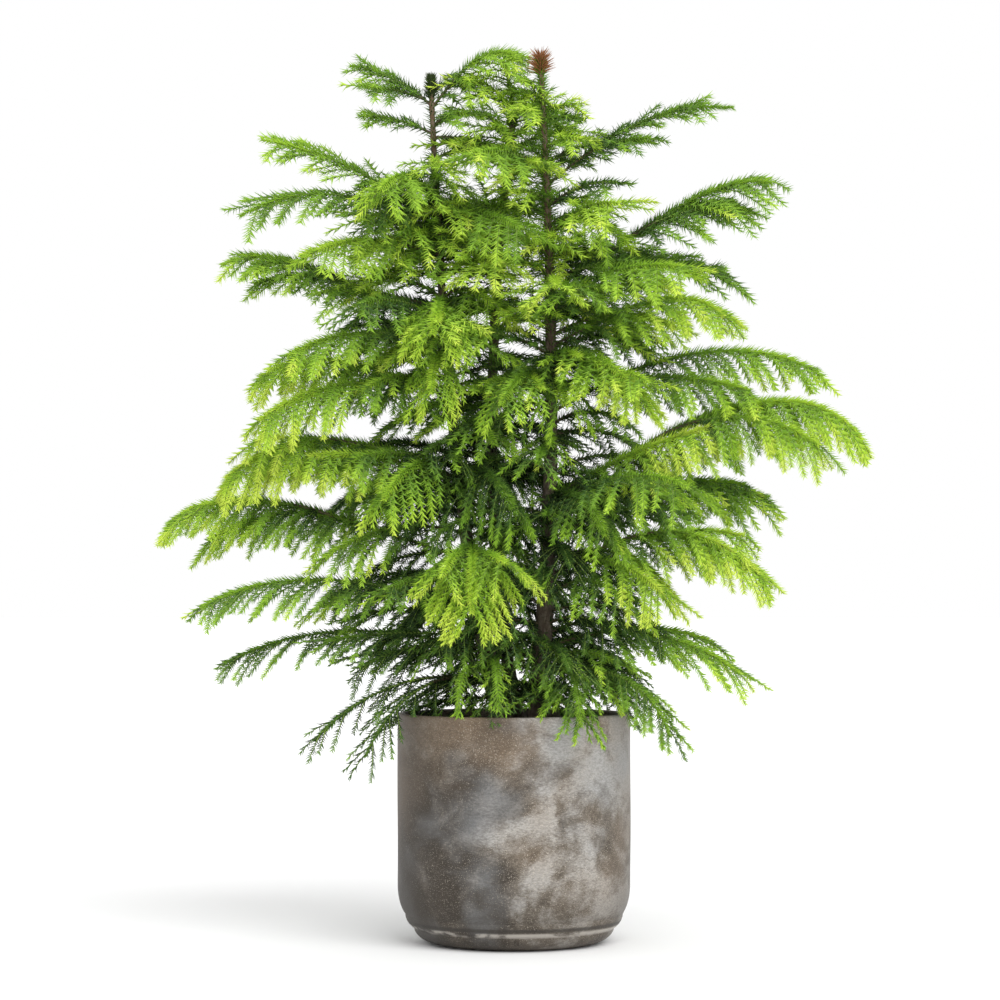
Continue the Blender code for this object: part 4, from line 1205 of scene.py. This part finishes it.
def frond_shoots(bough, run, first, step, settings, rng):
    """A frond's own shoot and its side sprays as two sets of shoots. Greens lighten outwards along the bough
    and along each spray: the darker inner greens are older needles and also painted shade of the crown's
    interior, painted lighter on the high boughs where the crown is thin. Needles are shorter and closer on
    low boughs and longer on high ones, and a few sprays have tips of bright new growth."""
    reach = run.lengths[0] * (1 - first)
    plans = spray_plan(bough, reach, rng), fine_plan(bough, reach, step, rng)
    shares, sides, lengths = (np.concatenate(rows) for rows in zip(*plans))
    loose = np.repeat([0.0, 1.0], [len(plan[0]) for plan in plans])
    first = first * (1 - loose)
    shares = first + (1 - first) * shares
    sprays = spray_runs(bough, run, shares, sides, lengths, loose, rng)
    # Painted shade inside the crown: greens darken towards the stem along the bough and towards each spray's
    # root, less on the high boughs where the crown is thin; older needles there are darker too
    outer = smoothstep(0.0, OUTER_FROM, shares)
    low = smoothstep(*LOW_SHADE, bough.height)
    high = smoothstep(*HIGH, bough.height)
    glow = bough.glow * (0.38 + 0.30 * high + (0.64 - 0.32 * high) * outer)
    glow = glow + rng.normal(0.0, GLOW_SPREAD, len(shares))
    size = settings.needle_length * (1.0 - 0.16 * low + 0.28 * high) * (0.92 + 0.12 * bough.glow)
    fresh = rng.uniform(*FRESH_TIP, len(shares)) * (0.4 + 0.6 * outer) * (1 - 0.35 * high)
    fresh = fresh + BRIGHT_TIP * (rng.uniform(size=len(shares)) < BRIGHT_SHARE) * outer
    gap = settings.needle_gap * (step / FINE_STEP) ** 0.5 * (1 + 0.20 * low + 0.22 * high)
    side_shoots = shoots(
        sprays, needle=size, gap=gap, near=58 - 10 * low, far=42, old=glow - 0.20 + 0.16 * high,
        new=glow + fresh, first=0.03, ranks=FLAT_RANKS, root_radius=TWIG_RADII[0], tip_radius=TWIG_RADII[1])
    main_shoot = shoots(
        run, needle=size * (1.30 - 0.30 * high), gap=gap * MAIN_GAP, near=56 - 8 * low, far=40,
        old=bough.glow * 0.55, new=bough.glow + 0.14, first=0.04, ranks=FULL_RANKS,
        root_radius=LIMB_RADIUS if bough.bare else BOUGH_RADII[0], tip_radius=BOUGH_RADII[1])
    return main_shoot, side_shoots


def inner_boughs():
    """Short boughs all round each stem between its whorls, at heights an even step apart and at
    golden-angle headings, then the front boughs. The short ones are longest in the middle of the stem and
    droop more lower down. Their greens are painted light and shade: lighter in front and above, darker
    low on the stem."""
    boughs = []
    for number, filling in enumerate(FILLINGS):
        rng = np.random.default_rng(INNER_SEED + number)
        for index, height in enumerate(np.arange(filling.low, filling.high, filling.step)):
            down, above, middle = (
                float(smoothstep(*band, height)) for band in (INNER_DOWN, INNER_ABOVE, INNER_MIDDLE))
            heading = (index * GOLDEN_ANGLE + number * 50 + rng.uniform(-15, 15)) % 360
            off_front = (heading - 90) % 360 - 180
            heading = 270 + off_front * (1 - FRONT_PULL * filling.front)
            # Painted light: a short bough that faces the front gets a lighter green, and painted shade
            # darkens the low ones
            front = max(0.0, -math.sin(math.radians(heading)))
            tones = [base + added * front for base, added in (TONE_BELOW, TONE_MIDDLE, TONE_ABOVE)]
            tone = tones[0] * (1 - middle) + middle * (tones[1] * (1 - above) + tones[2] * above)
            boughs.append(Bough(
                f"{filling.stem}_inner_{number}_{index}", filling.stem, float(height), heading,
                reach=(INNER_TOP + (INNER_REACH - INNER_TOP) * down) * filling.size * rng.uniform(0.75, 1.1),
                rise=rng.uniform(14, 34) + 12 * above + filling.lift,
                dip=rng.uniform(-60, -30) * (1 - 0.6 * above), late=1.0,
                twig=(0.050 + 0.020 * down) * filling.size ** 0.5, hang=0.12 + 0.55 * (1 - above),
                glow=min(tone + rng.uniform(*TONE_STRAY), INNER_LIGHTEST), last=0.90))
    return tuple(boughs) + FRONT_BOUGHS


def grow_foliage(settings):
    """Main shoots and side shoots of every bough, by the bough's name. Fine sprays stand closer on a short
    light bough, and further apart on the outer boughs of the hem."""
    grown = {}
    for index, bough in enumerate(BOUGHS + inner_boughs()):
        rng = np.random.default_rng(SEED + index)
        run = bough_run(bough, rng)
        own = index < len(BOUGHS)
        step = FINE_STEP if own else INNER_FINE_STEP
        if bough.glow > ECHO_GLOW and bough.reach < ECHO_REACH:
            step = step * FAN_STEP
        if bough.name.endswith("_out"):
            step = step * (1 + HEM_STEP * float(smoothstep(*SPARSE_HEM, bough.height)))
        fronds = [(bough, run, bough.bare, step)]
        fronds += [(bough, fork_run(bough, run, fork), 0.0, step) for fork in bough.forks]
        if own and not bough.thin:
            fronds += echoes(bough, run)
            beside = companions(bough, rng)
            fronds += [(other, bough_run(other, rng), 0.0, INNER_FINE_STEP) for other in beside]
        pairs = [frond_shoots(*frond, settings, rng) for frond in fronds]
        grown[bough.name] = tuple(joined(kind) for kind in zip(*pairs))
    return grown


def tier_groups():
    """Boughs by piece: a stem's tier, from the top down."""
    groups = {}
    for bough in BOUGHS + inner_boughs():
        tier = sum(bough.height < height for height in TIER_HEIGHTS[bough.stem])
        groups.setdefault(f"{bough.stem}_tier_{tier + 1}", []).append(bough)
    return groups


# Needles on the stems' tops in metres, and the tuft's pitch in degrees and how far it goes past the tip
TOP_NEEDLE = 0.0200
TUFT_GAP = 0.00012
TUFT_PITCH = 88.0
TUFT_PAST = 0.004


def stem_top_shoots(name):
    """The sparse needles of a stem's top stretch, and the dense tuft round its bud."""
    top = STEM_TOPS[name]
    run = stem_run(STEMS[name])
    tip = run.points[:, -1] + run.directions[:, -1] * -top.depth
    heading = np.degrees(np.arctan2(run.directions[0, -1, 1], run.directions[0, -1, 0]))
    headings = np.full((1, CURVE_POINTS), heading)
    tuft = sweep(tip, headings, np.full_like(headings, TUFT_PITCH), [top.depth + TUFT_PAST])
    along = shoots(run, needle=TOP_NEEDLE, gap=top.gap, near=84, far=66, old=top.tone, new=top.tone,
                   first=top.start, ranks=ROUND_RANKS, root_radius=0.0, tip_radius=0.0)
    dense = shoots(tuft, needle=top.needle, gap=TUFT_GAP, near=top.open, far=26, old=top.tone, new=top.tone,
                   first=0.0, ranks=ROUND_RANKS, kind=top.kind, root_radius=0.0, tip_radius=0.0)
    return joined([along, dense])


# The share of a bough's length that has brown skin, before it turns as green as its twigs
SKIN_SHARE = 0.30


class PINE_OT_boughs(bpy.types.Operator):
    """Grow the boughs and the twigs of their side sprays"""

    bl_idname = "pine.boughs"
    bl_label = "Boughs"

    def execute(self, context):
        settings = context.scene.pine_plant
        grown = grow_foliage(settings)
        materials = [young_wood(settings), plain("green_twig", tuple(settings.twig), 0.6)]
        for stem in STEMS:
            names = [bough.name for bough in BOUGHS + inner_boughs() if bough.stem == stem]
            mains = joined([grown[name][0] for name in names])
            sides = joined([grown[name][1] for name in names])
            thick, thick_faces, shares = rod_surface(mains.runs, mains.root_radius, mains.tip_radius, 6, 2)
            thin, thin_faces, _ = rod_surface(sides.runs, sides.root_radius, sides.tip_radius, 3, 8)
            points = np.concatenate([thick, thin])
            faces = np.concatenate([thick_faces, thin_faces + len(thick)])
            indices = np.concatenate([(shares > SKIN_SHARE).astype(int), np.ones(len(thin_faces), int)])
            piece = make_piece(stem + "_boughs", points, faces, materials, indices)
            limbs = [bough.name + "_limb" for bough in BOUGHS if bough.stem == stem and bough.bare]
            place_piece(piece, limbs)
        return {"FINISHED"}


class PINE_OT_needles(bpy.types.Operator):
    """Set needles along every shoot, in greens dealt out by spray"""

    bl_idname = "pine.needles"
    bl_label = "Needles"

    def execute(self, context):
        settings = context.scene.pine_plant
        grown = grow_foliage(settings)
        materials = needle_materials()
        for index, (name, boughs) in enumerate(tier_groups().items()):
            rng = np.random.default_rng(TIER_SEED + index)
            group = joined([part for bough in boughs for part in grown[bough.name]])
            points, faces, indices = needle_surface(group, settings.needle_width, rng)
            piece = make_piece(name + "_needles", points, faces, materials, indices, smooth=False)
            place_piece(piece, [bough.name for bough in boughs if bough in BOUGHS])
        return {"FINISHED"}


class PINE_OT_stem_tops(bpy.types.Operator):
    """Set the sparse needles of the stems' bare tops and the tufts round their buds"""

    bl_idname = "pine.stem_tops"
    bl_label = "Stem tops"

    def execute(self, context):
        settings = context.scene.pine_plant
        rng = np.random.default_rng(TOPS_SEED)
        group = joined([stem_top_shoots(name) for name in STEM_TOPS])
        points, faces, indices = needle_surface(group, settings.needle_width * STEM_NEEDLE_WIDTH, rng)
        piece = make_piece("stem_top_needles", points, faces, needle_materials(), indices, smooth=False)
        place_piece(piece, [name + "_stem" for name in STEM_TOPS])
        return {"FINISHED"}


# The studio in metres, with the lens in millimetres, the pitch in degrees and the light's spread in
# radians
FLOOR_REACH = 30.0
PLANT_MIDDLE = (0.0, 0.0, 0.6)
KEY_PLACE = (1.3, -2.4, 2.9)
KEY_SPREAD = 0.9
CAMERA_PLACE = (-0.0169, -3.7, 0.436)
CAMERA_LENS = 110.4
CAMERA_PITCH = 1.476


class PINE_OT_studio(bpy.types.Operator):
    """Set the pale floor, the soft lights and the camera"""

    bl_idname = "pine.studio"
    bl_label = "Studio"

    def execute(self, context):
        settings = context.scene.pine_studio
        corners = np.array([(-1, -1, 0), (1, -1, 0), (1, 1, 0), (-1, 1, 0)], float) * FLOOR_REACH
        floor = make_piece("studio_floor", corners, np.array([(0, 1, 2, 3)]),
                           [plain("studio_floor", tuple(settings.floor), 0.9)])
        add_light("key", KEY_PLACE, KEY_SPREAD, settings.key_power)
        world = bpy.data.worlds.new("studio")
        world.use_nodes = True
        background = world.node_tree.nodes["Background"].inputs
        background["Color"].default_value = (1.0, 1.0, 1.0, 1.0)
        background["Strength"].default_value = 1.0
        context.scene.world = world
        context.scene.view_settings.view_transform = "Standard"
        camera = bpy.data.cameras.new("camera")
        camera.lens = CAMERA_LENS
        camera.clip_end = 100.0
        holder = bpy.data.objects.new("camera", camera)
        holder.location = CAMERA_PLACE
        holder.rotation_euler = (math.radians(90 + CAMERA_PITCH), 0.0, 0.0)
        context.scene.collection.objects.link(holder)
        context.scene.camera = holder
        return {"FINISHED"}


def add_light(name, place, spread, strength):
    """A soft distant light that shines from the place towards the middle of the plant."""
    light = bpy.data.lights.new(name, "SUN")
    light.angle = spread
    light.energy = strength
    holder = bpy.data.objects.new(name, light)
    holder.location = place
    holder.rotation_euler = (Vector(PLANT_MIDDLE) - Vector(place)).to_track_quat("-Z", "Y").to_euler()
    bpy.context.scene.collection.objects.link(holder)


class PINE_PT_panel(bpy.types.Panel):
    """The pine's settings and the buttons that build it"""

    bl_idname = "PINE_PT_panel"
    bl_label = "Norfolk Island Pine"
    bl_space_type = "VIEW_3D"
    bl_region_type = "UI"
    bl_category = "Pine"

    def draw(self, context):
        for settings in (context.scene.pine_pot, context.scene.pine_plant, context.scene.pine_studio):
            box = self.layout.box()
            for key in settings.__annotations__:
                box.prop(settings, key)
        for operator in OPERATORS:
            self.layout.operator(operator.bl_idname)


OPERATORS = (PINE_OT_pot, PINE_OT_soil, PINE_OT_stems, PINE_OT_boughs, PINE_OT_needles, PINE_OT_stem_tops,
             PINE_OT_studio)
SETTINGS = {"pine_pot": PinePotSettings, "pine_plant": PinePlantSettings, "pine_studio": PineStudioSettings}


def register():
    """Make the settings, the operators and the panel known."""
    for item in (*SETTINGS.values(), *OPERATORS, PINE_PT_panel):
        bpy.utils.register_class(item)
    for name, group in SETTINGS.items():
        setattr(bpy.types.Scene, name, bpy.props.PointerProperty(type=group))


def unregister():
    """Take them away again, in the reverse order."""
    for name in SETTINGS:
        delattr(bpy.types.Scene, name)
    for item in reversed((*SETTINGS.values(), *OPERATORS, PINE_PT_panel)):
        bpy.utils.unregister_class(item)


def main():
    """Build every piece."""
    register()
    bpy.ops.pine.pot()
    bpy.ops.pine.soil()
    bpy.ops.pine.stems()
    bpy.ops.pine.boughs()
    bpy.ops.pine.needles()
    bpy.ops.pine.stem_tops()
    bpy.ops.pine.studio()


if __name__ == "__main__":
    main()
